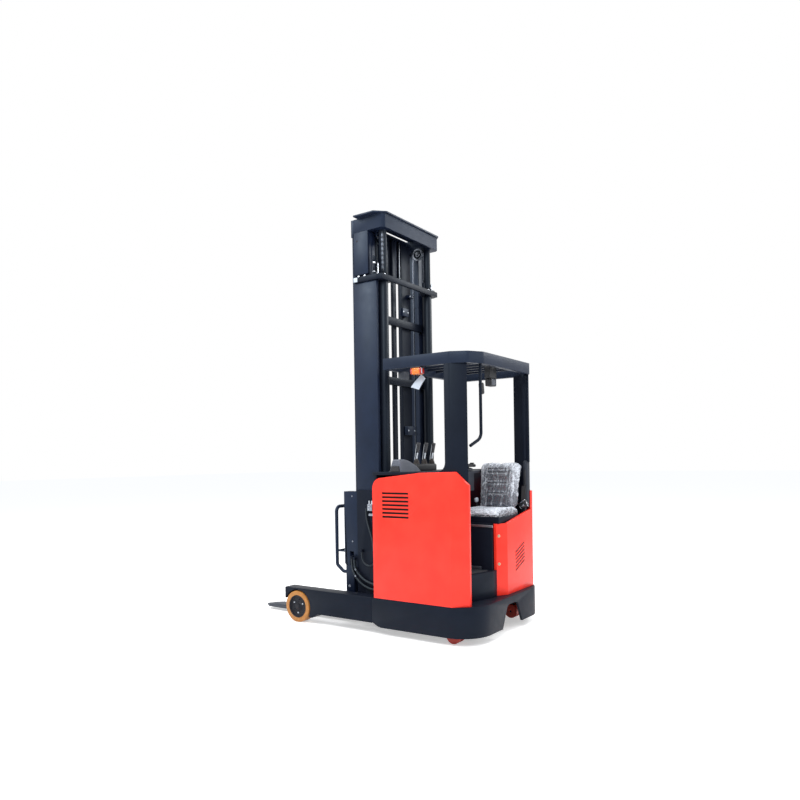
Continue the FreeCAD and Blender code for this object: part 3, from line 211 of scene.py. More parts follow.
def bare_metal(name, text, grit, rough, stretch=(1, 1, 1), depth=0.05 * MM):
    """Bare metal with fine marks from grinding or rolling; stretch draws them out."""
    material, tree, shader, place = surface(name, linear(text), 0.92, 1.06, 60 * MM,
                                            Metallic=1.0)
    turn = add(tree, "ShaderNodeMapping", {"Scale": stretch}, {"Vector": place})
    marks = add(tree, "ShaderNodeTexNoise", {"Scale": 1 / grit, "Detail": 3.0},
                {"Vector": turn.outputs["Vector"]})
    rough_between(tree, shader, marks.outputs["Fac"], rough - 0.08, rough + 0.1)
    relief(tree, shader, marks.outputs["Fac"], depth)
    return material


def moulded(name, rgb, grain, rough, depth=0.08 * MM, **sockets):
    """Moulded plastic, rubber or vinyl: a pebbled grain from the tool's etched face."""
    material, tree, shader, place = surface(name, rgb, 0.9, 1.12, 90 * MM, **sockets)
    pebble = add(tree, "ShaderNodeTexVoronoi", {"Scale": 1 / grain}, {"Vector": place},
                 feature="SMOOTH_F1")
    rough_between(tree, shader, pebble.outputs["Distance"], rough - 0.06, rough + 0.08)
    relief(tree, shader, pebble.outputs["Distance"], depth)
    return material


def cast_urethane(name, rgb, rough):
    """Cast polyurethane: slightly waxy, with turning marks and dust worked into the tread."""
    material, tree, shader, place = surface(
        name, rgb, 0.82, 1.12, 35 * MM, **{"Subsurface Weight": 0.08, "Subsurface Scale": 0.004,
                                           "Specular IOR Level": 0.45})
    dust = add(tree, "ShaderNodeTexNoise", {"Scale": 1 / (9 * MM), "Detail": 8.0,
                                            "Roughness": 0.7}, {"Vector": place})
    rough_between(tree, shader, dust.outputs["Fac"], rough - 0.1, rough + 0.15)
    relief(tree, shader, dust.outputs["Fac"], 0.2 * MM)
    return material


def braided_rubber(name, rgb):
    """Hose cover: the braid under the rubber shows as a fine criss-cross, drawn at 5 mm
    so that it shows."""
    # The sheen gets the same blue tint: painted reflection of a blue sky
    material, tree, shader, place = surface(name, rgb, 0.85, 1.2, 40 * MM, **{
        "Specular Tint": SKY_TINT})
    braid = [add(tree, "ShaderNodeTexWave", {"Scale": 1 / (5 * MM) / math.tau * 2,
                                             "Distortion": 0.4},
                 {"Vector": add(tree, "ShaderNodeMapping", {"Rotation": (0, turn, turn)},
                                {"Vector": place}).outputs["Vector"]})
             for turn in (0.7, -0.7)]
    cross = add(tree, "ShaderNodeMath", links={0: braid[0].outputs["Fac"],
                                               1: braid[1].outputs["Fac"]},
                operation="MULTIPLY")
    rough_between(tree, shader, cross.outputs["Value"], 0.38, 0.55)
    relief(tree, shader, cross.outputs["Value"], 0.3 * MM)
    return material


def stitched_vinyl(name, rgb):
    """Expanded vinyl with an embossed grain under a tight clear wrap that shows as a coat,
    with painted shade darkening its sewn channels. The mesh's own attribute says where the
    channels are and how much shade they get."""
    material, tree, shader, place = surface(name, rgb, 0.9, 1.12, 90 * MM, **{
        "Coat Weight": 0.35, "Coat Roughness": 0.12})
    grain = add(tree, "ShaderNodeTexVoronoi", {"Scale": 1 / (3 * MM)}, {"Vector": place},
                feature="SMOOTH_F1")
    rough_between(tree, shader, grain.outputs["Distance"], 0.4, 0.54)
    relief(tree, shader, grain.outputs["Distance"], 0.25 * MM)
    # Painted shade: the attribute says how dark each channel is drawn, and the mix below
    # darkens the vinyl there
    seam = add(tree, "ShaderNodeAttribute", attribute_name="sewn")
    tint = shader.inputs["Base Color"].links[0].from_socket
    dark = add(tree, "ShaderNodeMix", {7: shaded(rgb, 0.1)}, {0: seam.outputs["Fac"], 6: tint},
               data_type="RGBA")
    tree.links.new(dark.outputs[2], shader.inputs["Base Color"])
    return material


def clear_film(name):
    """Polythene wrap: clear where it lies flat, white where it gathers in creases and where it
    faces the light. The white is painted highlight for the film's shine, besides the creases'
    own whitening.

    The mesh's own attribute says how white each place is drawn."""
    material, tree, shader, place = surface(name, linear("#e6ecf6"), 0.95, 1.05, 80 * MM,
                                            IOR=1.5)
    creases_and_shine = add(tree, "ShaderNodeAttribute", attribute_name="creases_and_shine")
    crumple = add(tree, "ShaderNodeTexNoise", {"Scale": 1 / (7 * MM), "Detail": 4.0,
                                               "Roughness": 0.6}, {"Vector": place})
    broken = add(tree, "ShaderNodeMapRange", {"From Min": 0.3, "From Max": 0.62,
                                              "To Min": 0.35, "To Max": 1.0},
                 {"Value": crumple.outputs["Fac"]})
    painted_film_shine = add(tree, "ShaderNodeMath", links={0: creases_and_shine.outputs["Fac"],
                                              1: broken.outputs["Result"]},
               operation="MULTIPLY")
    alpha = add(tree, "ShaderNodeMapRange", {"To Min": 0.03, "To Max": 0.95},
                {"Value": painted_film_shine.outputs["Value"]})
    tree.links.new(alpha.outputs["Result"], shader.inputs["Alpha"])
    rough_between(tree, shader, crumple.outputs["Fac"], 0.06, 0.24)
    relief(tree, shader, crumple.outputs["Fac"], 2 * MM, 0.8)
    return material


def clear_lens(name, rgb):
    """Tinted polycarbonate with the fine upright ribs that spread a beacon's light."""
    material, tree, shader, place = surface(name, rgb, 0.92, 1.05, 30 * MM, **{
        "Roughness": 0.16, "Transmission Weight": 0.25, "IOR": 1.58, "Coat Weight": 0.3})
    ribs = add(tree, "ShaderNodeTexWave", {"Scale": 1 / (4 * MM) / math.tau * 2},
               {"Vector": place}, bands_direction="X")
    relief(tree, shader, ribs.outputs["Fac"], 0.6 * MM)
    return material


def ribbed_mat(name, rgb, pitch):
    """Rubber floor mat: moulded ribs across the foot well."""
    material, tree, shader, place = surface(name, rgb, 0.8, 1.25, 60 * MM)
    ribs = add(tree, "ShaderNodeTexWave", {"Scale": math.tau / pitch / 20}, {"Vector": place},
               bands_direction="X", wave_profile="SIN")
    rough_between(tree, shader, ribs.outputs["Fac"], 0.5, 0.72)
    relief(tree, shader, ribs.outputs["Fac"], 1.2 * MM)
    return material


MATERIALS = {}
SKY_TINT = (0.7, 0.87, 1.0, 1.0)    # painted reflection: tints the sheen blue, as if it reflected a blue sky


def cool(level):
    """Shader sockets of a blue-black paint: the level of its sheen, and the blue tint that
    paints a sky's reflection into it.
    """
    return {"Specular IOR Level": level, "Specular Tint": SKY_TINT}


def make_materials(c):
    """Every finish of the truck, kept by a short name."""
    MATERIALS.update(
        # Powder coat, cured from dry powder: fine orange peel, satin, near black
        frame=coated_steel("powder_coated_steel", c.frame, 3.5 * MM, 0.10 * MM, 0.44,
                           **cool(0.13)),
        # The frame's powder coat again, drawn lighter and with more sheen on the roof: painted
        # light
        roof=coated_steel("powder_coat_roof_lit", c.roof, 3.5 * MM, 0.10 * MM, 0.44,
                          **cool(0.2)),
        # Alkyd enamel brushed over mill scale on hot-rolled profiles: softer and bluer
        mast=coated_steel("enamelled_rolled_steel", c.mast, 6 * MM, 0.16 * MM, 0.42,
                          **cool(0.25)),
        # Cylinder tubes and sockets under the same enamel, dulled by an oily film
        barrel=coated_steel("oily_enamelled_tube", linear("#0d111b"), 5 * MM, 0.1 * MM, 0.4,
                            **cool(0.2)),
        # Two-pack gloss enamel sprayed on pressed sheet steel: even and glossy
        cover=coated_steel("gloss_enamelled_sheet_steel", c.cover, 9 * MM, 0.03 * MM, 0.34,
                           **{"Specular IOR Level": 0.22, "Coat Weight": 0.06,
                              "Coat Roughness": 0.15}),
        # Forged fork arms, thinly painted over scale: greyer and rougher
        fork=coated_steel("painted_forged_steel", c.fork, 4 * MM, 0.3 * MM, 0.5,
                          **{"Specular IOR Level": 0.3}),
        # Cast iron hub under brushed paint: coarse skin from the sand mould
        hub=coated_steel("painted_cast_iron", c.hub, 2.5 * MM, 0.25 * MM, 0.48,
                         **{"Specular IOR Level": 0.22}),
        # Stoved enamel on the battery's welded trough: plain and even
        battery=coated_steel("enamelled_battery_trough", c.battery, 5 * MM, 0.1 * MM, 0.5),
        # Hard chrome, ground and polished along the rod
        chrome=bare_metal("hard_chromed_steel", "#c9ced6", 2 * MM, 0.16, (1, 1, 0.05)),
        # Oiled chain steel: dark, with bright rubbed plate edges
        chain=bare_metal("oiled_chain_steel", "#4a4f58", 3 * MM, 0.36, depth=0.2 * MM),
        # Bright zinc plate on bolts and couplings
        zinc=bare_metal("bright_zinc_plated_steel", "#c3c9d1", 2 * MM, 0.3),
        # Passivated fasteners: a pale straw film over the zinc
        brass=bare_metal("yellow_passivated_steel", "#b3a68c", 2 * MM, 0.36),
        # Pale bare metal on the seat wall's lip: painted highlight for the light along that
        # edge
        worn=bare_metal("pale_edge_glint", "#8d939c", 3 * MM, 0.42),
        # Cast iron sheave, its groove rubbed bright by the chain
        pulley=bare_metal("rubbed_cast_sheave", "#8b919b", 3 * MM, 0.38),
        # Cast polyurethane: tan on the load wheels, red on the rollers, and on the drive a red
        # darkened as painted shade for the tail notch it sits in
        tyre=cast_urethane("cast_polyurethane_tan", c.tyre, 0.42),
        roller=cast_urethane("cast_polyurethane_red", c.roller, 0.42),
        drive=cast_urethane("cast_polyurethane_drive_shaded", c.drive, 0.5),
        # ABS mouldings, spark-eroded grain drawn at 2 mm
        plastic=moulded("moulded_abs_black", c.plastic, 2 * MM, 0.5),
        hood=moulded("moulded_abs_grey", c.hood, 2.5 * MM, 0.45),
        # Rubber bellows, and the smoother nylon grips above them
        grip=moulded("moulded_soft_rubber", linear("#2b2624"), 3 * MM, 0.62, 0.2 * MM),
        lever=moulded("moulded_lever_grip", linear("#2a2b30"), 2 * MM, 0.34),
        # Structural foam mouldings: matt grey
        console=moulded("moulded_foam_grey", linear("#363a43"), 3 * MM, 0.5),
        pod=moulded("moulded_belt_housing", linear("#1a202b"), 2.5 * MM, 0.55,
                    **{"Specular IOR Level": 0.3}),
        # Woven polyester belt, its ribs drawn at 5 mm
        webbing=ribbed_mat("polyester_webbing", linear("#1d1e22"), 5 * MM),
        # Rubber mat with moulded ribs
        mat=ribbed_mat("ribbed_floor_rubber", linear("#22252b"), 18 * MM),
        # Expanded vinyl with an embossed leather grain, in its clear polythene wrap
        seat=stitched_vinyl("embossed_vinyl", c.seat),
        film=clear_film("polythene_wrap"),
        # Moulded polycarbonate lenses: clear, tinted, ribbed inside
        lens=clear_lens("amber_polycarbonate", c.lens),
        red_lens=clear_lens("red_polycarbonate", linear("#c8281a")),
        # Pressed lamp glass with prisms: glossy and uneven
        glass=moulded("prismatic_lamp_glass", linear("#4a505b"), 6 * MM, 0.12, 0.6 * MM),
        # Uncoated card: matt, with faint fibres
        card=moulded("pulp_card", c.card, 1.5 * MM, 0.8),
        # Extruded hose cover over a braid: satin black
        hose=braided_rubber("braided_hose_rubber", linear("#0c0f14")),
        # Painted shade: near black, drawn inside slots, recesses and holes
        shadow=moulded("shaded_sheet_steel", linear("#120305"), 4 * MM, 0.8),
    )


# ---------------------------------------------------------------- modelling helpers
# Places are in metres. Radii, roundings and lathe profiles are in millimetres.
def off(place, x=0, y=0, z=0):
    """A place moved by millimetres."""
    return Vector(place) + Vector((x, y, z)) * MM


def mark(bm, index):
    """Give the faces added since the last mark this material number."""
    done = bm.faces.layers.int.get("painted") or bm.faces.layers.int.new("painted")
    for face in bm.faces:
        if not face[done]:
            face.material_index = index
            face[done] = 1


def soften(bm, edges, radius, steps):
    """Round the given edges."""
    if radius and edges:
        bmesh.ops.bevel(bm, geom=list(edges), offset=radius * MM, offset_type="OFFSET",
                        segments=steps, profile=0.5, affect="EDGES", clamp_overlap=True,
                        material=-1)


def block(bm, low, high, soft=0, steps=2, paint=0, turn=None):
    """A block between two corners, rounded, and turned about its middle by a matrix."""
    made = bmesh.ops.create_cube(bm, size=1.0)["verts"]
    low, high = Vector(low), Vector(high)
    bmesh.ops.scale(bm, vec=high - low, verts=made)
    if turn is not None:
        bmesh.ops.rotate(bm, cent=(0, 0, 0), matrix=turn, verts=made)
    bmesh.ops.translate(bm, vec=(high + low) / 2, verts=made)
    soften(bm, {e for v in made for e in v.link_edges}, soft, steps)
    mark(bm, paint)


def around(bm, middle, half, soft, steps=2, paint=0, turn=None):
    """A block about a middle, from its half sizes in millimetres."""
    half = Vector(half) * MM
    block(bm, middle - half, middle + half, soft, steps, paint, turn)


def drum(bm, start, end, radius, end_radius=None, sides=24, soft=0, paint=0):
    """A round or six-sided bar from start to end."""
    start, end = Vector(start), Vector(end)
    run = end - start
    made = bmesh.ops.create_cone(
        bm, cap_ends=True, cap_tris=False, segments=sides, radius1=radius * MM,
        radius2=(end_radius or radius) * MM, depth=run.length)["verts"]
    bmesh.ops.rotate(bm, cent=(0, 0, 0), matrix=run.to_track_quat("Z", "Y").to_matrix(),
                     verts=made)
    bmesh.ops.translate(bm, vec=(start + end) / 2, verts=made)
    rims = {e for v in made for e in v.link_edges
            if soft and any(len(f.verts) == sides for f in e.link_faces)}
    soften(bm, rims, soft, 2)
    mark(bm, paint)


def stack(bm, foot, rows, sides, soft=0):
    """Upright drums on one foot, from rows of start, end, radius and finish."""
    for start, end, radius, paint in rows:
        drum(bm, off(foot, 0, 0, start), off(foot, 0, 0, end), radius, None, sides, soft,
             paint)


def stud(bm, place, out, radius, paint, washer=True):
    """A hexagon bolt head on its washer, standing on a face."""
    place, out = Vector(place), Vector(out) * MM
    if washer:
        drum(bm, place - out, place + out * 2, radius * 1.35, None, 24, 0.5, paint)
    drum(bm, place, place + out * radius * 0.95, radius, None, 6, 0.9, paint)


def lathe(bm, profile, centre, axis, steps=64, paint=0):
    """Spin a closed profile of (radius, distance along the y or z axis) about that axis."""
    centre, up = Vector(centre), Vector((0, 0, 1))
    along, out = (Vector((0, 1, 0)), up) if axis == "y" else (up, Vector((1, 0, 0)))
    ring = [bm.verts.new(centre + (out * r + along * a) * MM) for r, a in profile]
    edges = [bm.edges.new((ring[n], ring[(n + 1) % len(ring)])) for n in range(len(ring))]
    flat = [e for e in edges if any(abs((v.co - centre).dot(out)) > 1e-6 for v in e.verts)]
    bmesh.ops.spin(bm, geom=ring + flat, cent=centre, axis=along, angle=math.tau,
                   steps=steps, use_merge=True, use_duplicate=False)
    for edge in edges:
        if edge.is_valid and not edge.link_faces:
            bm.edges.remove(edge)
    bmesh.ops.remove_doubles(bm, verts=bm.verts, dist=1e-6)
    mark(bm, paint)


def slab(bm, corners, axis, low, high, soft=0, steps=2, paint=0):
    """A flat outline drawn across an axis and extruded from low to high."""
    order = {"x": lambda u, v: (low, u, v), "y": lambda u, v: (u, low, v),
             "z": lambda u, v: (u, v, low)}[axis]
    face = bm.faces.new([bm.verts.new(order(u, v)) for u, v in corners])
    grown = bmesh.ops.extrude_face_region(bm, geom=[face])["geom"]
    tops = [g for g in grown if isinstance(g, bmesh.types.BMVert)]
    step = {"x": (high - low, 0, 0), "y": (0, high - low, 0), "z": (0, 0, high - low)}[axis]
    bmesh.ops.translate(bm, vec=step, verts=tops)
    made = tops + list(face.verts)
    soften(bm, {e for v in made for e in v.link_edges}, soft, steps)
    mark(bm, paint)


def arc_corners(low, high, radius, steps=8):
    """The corners of a rounded rectangle, going round."""
    (u0, v0), (u1, v1) = low, high
    radius *= MM
    centres = [(u1 - radius, v1 - radius, 0), (u0 + radius, v1 - radius, 1),
               (u0 + radius, v0 + radius, 2), (u1 - radius, v0 + radius, 3)]
    return [(u + radius * math.cos(math.pi / 2 * (quarter + n / steps)),
             v + radius * math.sin(math.pi / 2 * (quarter + n / steps)))
            for u, v, quarter in centres for n in range(steps + 1)]


def finished(bm, name, materials, body="chassis", replaces=(), angle=32):
    """Turn a bmesh into a piece that rides on a body and may stand for CAD nodes."""
    bmesh.ops.recalc_face_normals(bm, faces=bm.faces)
    if "painted" in bm.faces.layers.int:
        bm.faces.layers.int.remove(bm.faces.layers.int["painted"])
    mesh = bpy.data.meshes.new(name)
    bm.to_mesh(mesh)
    bm.free()
    for key in materials:
        mesh.materials.append(MATERIALS[key])
    mesh.shade_smooth()
    mesh.set_sharp_from_angle(angle=math.radians(angle))
    thing = bpy.data.objects.new(name, mesh)
    bpy.context.scene.collection.objects.link(thing)
    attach(thing, body)
    if replaces:
        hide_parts(*replaces)


def span(node):
    """A CAD node's lowest and highest corners."""
    return tuple(Vector(corner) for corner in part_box(node))


def node_mesh(node):
    """A merged copy of a CAD node's mesh, with flat regions joined into whole faces."""
    bm = bmesh.new()
    bm.from_mesh(frame["nodes"][node].data)
    bmesh.ops.remove_doubles(bm, verts=bm.verts, dist=1e-5)
    bmesh.ops.dissolve_limit(bm, angle_limit=math.radians(0.6), verts=bm.verts,
                             edges=bm.edges, delimit={"NORMAL"})
    return bm


def sharp_edges(bm, angle):
    """Edges where two faces meet at more than the angle, in degrees."""
    return [e for e in bm.edges if len(e.link_faces) == 2
            and e.calc_face_angle(0) > math.radians(angle)]


def rounded_copy(node, finish, radius, steps=2, angle=28, second=None, repaint=None):
    """Stand a copy of a CAD node in for it, with its sharp edges rounded.

    repaint may give some of its faces a second finish."""
    bm = node_mesh(node)
    soften(bm, sharp_edges(bm, angle), radius, steps)
    if repaint:
        repaint(bm)
    finished(bm, f"{node}_dressed", [finish, second] if second else [finish],
             frame["nodes"][node]["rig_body"], [node])


# ---------------------------------------------------------------- stage and camera
LAMPS = {
    # name: place and aim in metres, side of the square in metres, power in watts
    "key_lamp": ((-2.8, 5.0, 5.8), (-0.2, 0.0, 1.2), 3.5, 275),
    "rear_lamp": ((-7.0, -0.5, 3.6), (-0.5, 0.0, 1.2), 3.0, 100),
    "cap_lamp": ((-4.2, -5.6, 5.8), (-0.3, 0.0, 3.1), 3.0, 260),
    "mast_lamp": ((3.6, 5.4, 7.4), (-0.1, 0.3, 3.3), 2.6, 200),
    "head_lamp": ((2.4, 3.8, 4.9), (-0.1, 0.4, 3.4), 1.6, 70),
    "top_lamp": ((0.5, 0.5, 8.0), (-0.3, 0.0, 0.5), 4.0, 220),
}
# The camera's place and direction, its turn and roll in radians, and its lens
CAMERA_PLACE = (-3.6006, 5.0203, 1.4048)
CAMERA_AHEAD = (0.56937, -0.82208, -0.00168)
CAMERA_YAW, CAMERA_ROLL = -0.965058, -0.014916
WIDTH, FOCAL, RISE = 800, 685.096, 60.42    # picture's width, lens length and rise, alike


def soft_lamp(name, place, aim, side, power):
    """A soft square studio lamp."""
    data = bpy.data.lights.new(name, "AREA")
    data.shape, data.size, data.size_y, data.energy = "RECTANGLE", side, side, power
    lamp = bpy.data.objects.new(name, data)
    lamp.location = place
    lamp.rotation_mode = "QUATERNION"
    lamp.rotation_quaternion = (Vector(aim) - Vector(place)).to_track_quat("-Z", "Y")
    bpy.context.scene.collection.objects.link(lamp)


def seen_by(tree, *kinds):
    """A value that is 1 for rays of the given kinds."""
    ray = add(tree, "ShaderNodeLightPath")
    value = ray.outputs[f"Is {kinds[0]} Ray"]
    for kind in kinds[1:]:
        value = add(tree, "ShaderNodeMath",
                    links={0: value, 1: ray.outputs[f"Is {kind} Ray"]},
                    operation="MAXIMUM").outputs["Value"]
    return value


class TRUCK_OT_stage(bpy.types.Operator):
    """Lay the pale floor, hang the soft lamps and set the camera"""

    bl_idname = "truck.stage"
    bl_label = "Stage"

    def execute(self, context):
        scene = context.scene
        scene.view_settings.view_transform = "Standard"
        bm = bmesh.new()
        bmesh.ops.create_grid(bm, x_segments=1, y_segments=1, size=60.0)
        mesh = bpy.data.meshes.new("floor")
        bm.to_mesh(mesh)
        bm.free()
        floor = bpy.data.objects.new("floor", mesh)
        scene.collection.objects.link(floor)
        paper = bpy.data.materials.new("white_studio_floor")
        tree = fresh_tree(paper)
        diffuse = add(tree, "ShaderNodeBsdfDiffuse", {"Color": (0.9, 0.9, 0.9, 1.0)})
        white = add(tree, "ShaderNodeEmission", {"Color": (1, 1, 1, 1), "Strength": 0.45})
        dark = add(tree, "ShaderNodeEmission", {"Color": (0, 0, 0, 1), "Strength": 0.0})
        lift = add(tree, "ShaderNodeMixShader", links={0: seen_by(tree, "Camera", "Glossy"),
                                                       1: dark.outputs["Emission"],
                                                       2: white.outputs["Emission"]})
        both = add(tree, "ShaderNodeAddShader", links={0: diffuse.outputs["BSDF"],
                                                       1: lift.outputs["Shader"]})
        add(tree, "ShaderNodeOutputMaterial", links={"Surface": both.outputs["Shader"]})
        mesh.materials.append(paper)

        scene.world = bpy.data.worlds.new("studio")
        tree = fresh_tree(scene.world)
        soft = add(tree, "ShaderNodeBackground", {"Color": (0.93, 0.96, 1.0, 1),
                                                  "Strength": 0.62})
        back = add(tree, "ShaderNodeBackground", {"Color": (1, 1, 1, 1), "Strength": 1.0})
        mixed = add(tree, "ShaderNodeMixShader",
                    links={0: seen_by(tree, "Camera", "Transmission", "Glossy"),
                           1: soft.outputs["Background"], 2: back.outputs["Background"]})
        add(tree, "ShaderNodeOutputWorld", links={"Surface": mixed.outputs["Shader"]})
        for name, row in LAMPS.items():
            soft_lamp(name, *row)

        camera = bpy.data.objects.new("camera", bpy.data.cameras.new("camera"))
        scene.collection.objects.link(camera)
        scene.camera = camera
        ahead = Vector(CAMERA_AHEAD).normalized()
        right = Vector((math.sin(CAMERA_YAW), -math.cos(CAMERA_YAW), 0.0))
        up = right.cross(ahead)
        across = math.cos(CAMERA_ROLL) * right + math.sin(CAMERA_ROLL) * up
        over = -math.sin(CAMERA_ROLL) * right + math.cos(CAMERA_ROLL) * up
        turn = Matrix((across, over, -ahead)).transposed()
        camera.matrix_world = Matrix.Translation(CAMERA_PLACE) @ turn.to_4x4()
        camera.data.sensor_width = 36.0
        camera.data.lens = 36.0 * FOCAL / WIDTH
        camera.data.shift_y = RISE / WIDTH
        return {"FINISHED"}


# ---------------------------------------------------------------- hoses
ROUTES = {
    # name: radius, y, then x and z of the route's points, all in metres
    "hose_upper": (0.009, 0.4625, [
        (-0.091, 1.0), (-0.091, 0.95), (-0.1004, 0.8907), (-0.1226, 0.8223),
        (-0.1484, 0.755), (-0.1609, 0.6964), (-0.1609, 0.6464)]),
    "hose_middle": (0.010, 0.4655, [
        (0.041, 0.557), (0.041, 0.517), (0.0246, 0.4719), (-0.0108, 0.4298),
        (-0.0616, 0.3942), (-0.1236, 0.3716), (-0.1889, 0.3624), (-0.2369, 0.3624)]),
    "hose_lower": (0.009, 0.4665, [
        (0.069, 0.565), (0.069, 0.515), (0.0557, 0.4616), (0.0257, 0.4097),
        (-0.0226, 0.3662), (-0.0855, 0.3355), (-0.1589, 0.3199), (-0.2239, 0.3199)]),
    "hose_loop": (0.006, 0.4655, [
        (-0.039, 0.628), (-0.039, 0.584), (-0.054, 0.5469), (-0.0816, 0.5238),
        (-0.1146, 0.5155), (-0.1475, 0.5238), (-0.1751, 0.5469), (-0.1901, 0.584),
        (-0.1901, 0.628)]),
}


def route_curve(name, points):
    """A curve of one open smooth spline that the points steer."""
    data = bpy.data.curves.new(name, "CURVE")
    data.dimensions = "3D"
    spline = data.splines.new("NURBS")
    spline.points.add(len(points) - 1)
    for point, place in zip(spline.points, points):
        point.co = (*place, 1.0)
    spline.order_u = 3
    spline.use_endpoint_u = True
    return data


def route_length(points):
    """Length of the smooth line that the route's points steer."""
    data = route_curve("measure", points)
    data.resolution_u = 24
    thing = bpy.data.objects.new("measure", data)
    line = bpy.data.meshes.new_from_object(thing)
    spots = [v.co.copy() for v in line.vertices]
    bpy.data.objects.remove(thing)
    bpy.data.curves.remove(data)
    bpy.data.meshes.remove(line)
    return sum((b - a).length for a, b in zip(spots, spots[1:]))


class TRUCK_OT_hoses(bpy.types.Operator):
    """Hang the four hoses on the reach carriage's left cheek"""

    bl_idname = "truck.hoses"
    bl_label = "Hoses"

    def execute(self, context):
        for name, (radius, y, route) in ROUTES.items():
            points = [(x, y, z) for x, z in route]
            data = route_curve(f"{name}_run", points)
            data.resolution_u = 16
            data.bevel_depth = radius
            data.bevel_resolution = 5
            data.use_fill_caps = True
            data.materials.append(MATERIALS["hose"])
            hose = bpy.data.objects.new(f"{name}_run", data)
            context.scene.collection.objects.link(hose)
            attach(hose, "mast_carriage")
            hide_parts(name)
            route_length(points)
        return {"FINISHED"}


# ---------------------------------------------------------------- steelwork
ROUNDED = {
    # node: finish, rounding in millimetres, steps
    "base_skirt": ("frame", 4, 2), "wheel_arm_left": ("frame", 5, 3),
    "wheel_arm_right": ("frame", 5, 3), "balance_fork_left": ("frame", 2, 2),
    "balance_fork_right": ("frame", 2, 2), "battery_walls": ("frame", 3, 2),
    "battery": ("battery", 5, 2), "cab_floor": ("frame", 3, 2), "seat_base": ("frame", 4, 2),
    "guard_bars": ("frame", 2, 2), "reach_carriage": ("frame", 2, 2),
    "outer_rails": ("mast", 3, 2), "outer_bow": ("frame", 3, 2),
    "inner_rails": ("mast", 3, 2), "inner_crossbars": ("frame", 3, 2),
    "carriage_columns": ("mast", 3, 2), "fork_carriage": ("mast", 3, 2),
    "forks": ("fork", 3, 2), "lift_barrels": ("barrel", 2, 2), "deck_plate": ("frame", 4, 2),
    "steering_console": ("console", 7, 3),
}
PAINTED = {
    "drive_motor": "frame", "drive_gearbox": "hub", "drive_wheel": "drive",
    "balance_wheels_left": "roller", "balance_wheels_right": "roller",
    "reach_barrel": "frame", "reach_rod": "chrome", "grab_rail": "frame",
    "lift_rods": "chrome", "load_backrest": "mast",
}
CAP_WALL = 131 * MM         # height of the head's box above the rod sockets' tops
SOCKET_REACH = 45 * MM      # every face of a socket is this close to its rod


def socket_faces(bm):
    """Give the rod sockets under the mast's head the finish of the cylinder tubes."""
    rods = span("lift_rods")
    x, y = (rods[0].x + rods[1].x) / 2, rods[1].y - 25 * MM
    floor = max(v.co.z for v in bm.verts) - CAP_WALL
    for face in bm.faces:
        middle = face.calc_center_median()
        if middle.z < floor and math.hypot(middle.x - x, abs(middle.y) - y) < SOCKET_REACH:
            face.material_index = 1


class TRUCK_OT_steelwork(bpy.types.Operator):
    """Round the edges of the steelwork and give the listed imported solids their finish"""

    bl_idname = "truck.steelwork"
    bl_label = "Steelwork"

    def execute(self, context):
        for node, finish in PAINTED.items():
            data = frame["nodes"][node].data
            data.materials.clear()
            data.materials.append(MATERIALS[finish])
        for node, (finish, radius, steps) in ROUNDED.items():
            rounded_copy(node, finish, radius, steps)
        rounded_copy("inner_cap", "mast", 3, 2, 28, "barrel", socket_faces)
        return {"FINISHED"}


# Corners of the right post's duct, seen from above
DUCT_PLAN = [(-1.105, -0.44), (-1.105, -0.52), (-1.118, -0.534), (-1.136, -0.506),
             (-1.132, -0.498), (-1.15, -0.47), (-1.156, -0.472), (-1.166, -0.452),
             (-1.155, -0.44), (-1.146, -0.446), (-1.13, -0.446), (-1.124, -0.44)]


class TRUCK_OT_guard(bpy.types.Operator):
    """Fold the guard's posts and roof softly, web the left foot and trim the right post"""

    bl_idname = "truck.guard"
    bl_label = "Overhead guard"

    def execute(self, context):
        sizes = context.scene.truck_sizes
        for node, finish in (("guard_posts", "frame"), ("guard_roof", "roof")):
            bm = node_mesh(node)
            folds = [e for e in sharp_edges(bm, 12) if e.calc_face_angle(0) < 1.2
                     and abs((e.verts[0].co - e.verts[1].co).normalized().z) > 0.9]
            soften(bm, folds, sizes.fold / MM, 4)
            soften(bm, sharp_edges(bm, 40), sizes.edge / MM, 2)
            finished(bm, f"{node}_dressed", [finish], replaces=[node])
        post, deck = span("guard_posts"), span("deck_plate")
        reach, lap = 70 * MM, 2 * MM
        hub_x, hub_z = post[1].x + reach, deck[1].z + reach
        arc = [(hub_x + reach * math.cos(a), hub_z + reach * math.sin(a))
               for a in (math.pi * (1 + n / 16) for n in range(9))]
        bm = bmesh.new()
        slab(bm, [(post[1].x - lap, hub_z), *arc, (hub_x, deck[1].z - lap),
                  (post[1].x - lap, deck[1].z - lap)], "y", post[1].y - 12 * MM, post[1].y, 1.2)
        finished(bm, "post_foot_web", ["frame"])
        bm = bmesh.new()
        slab(bm, DUCT_PLAN, "z", span("belt_pod")[1].z - 16 * MM,
             span("guard_roof")[0].z - 1 * MM, 2)
        finished(bm, "post_duct_right", ["frame"])
        return {"FINISHED"}


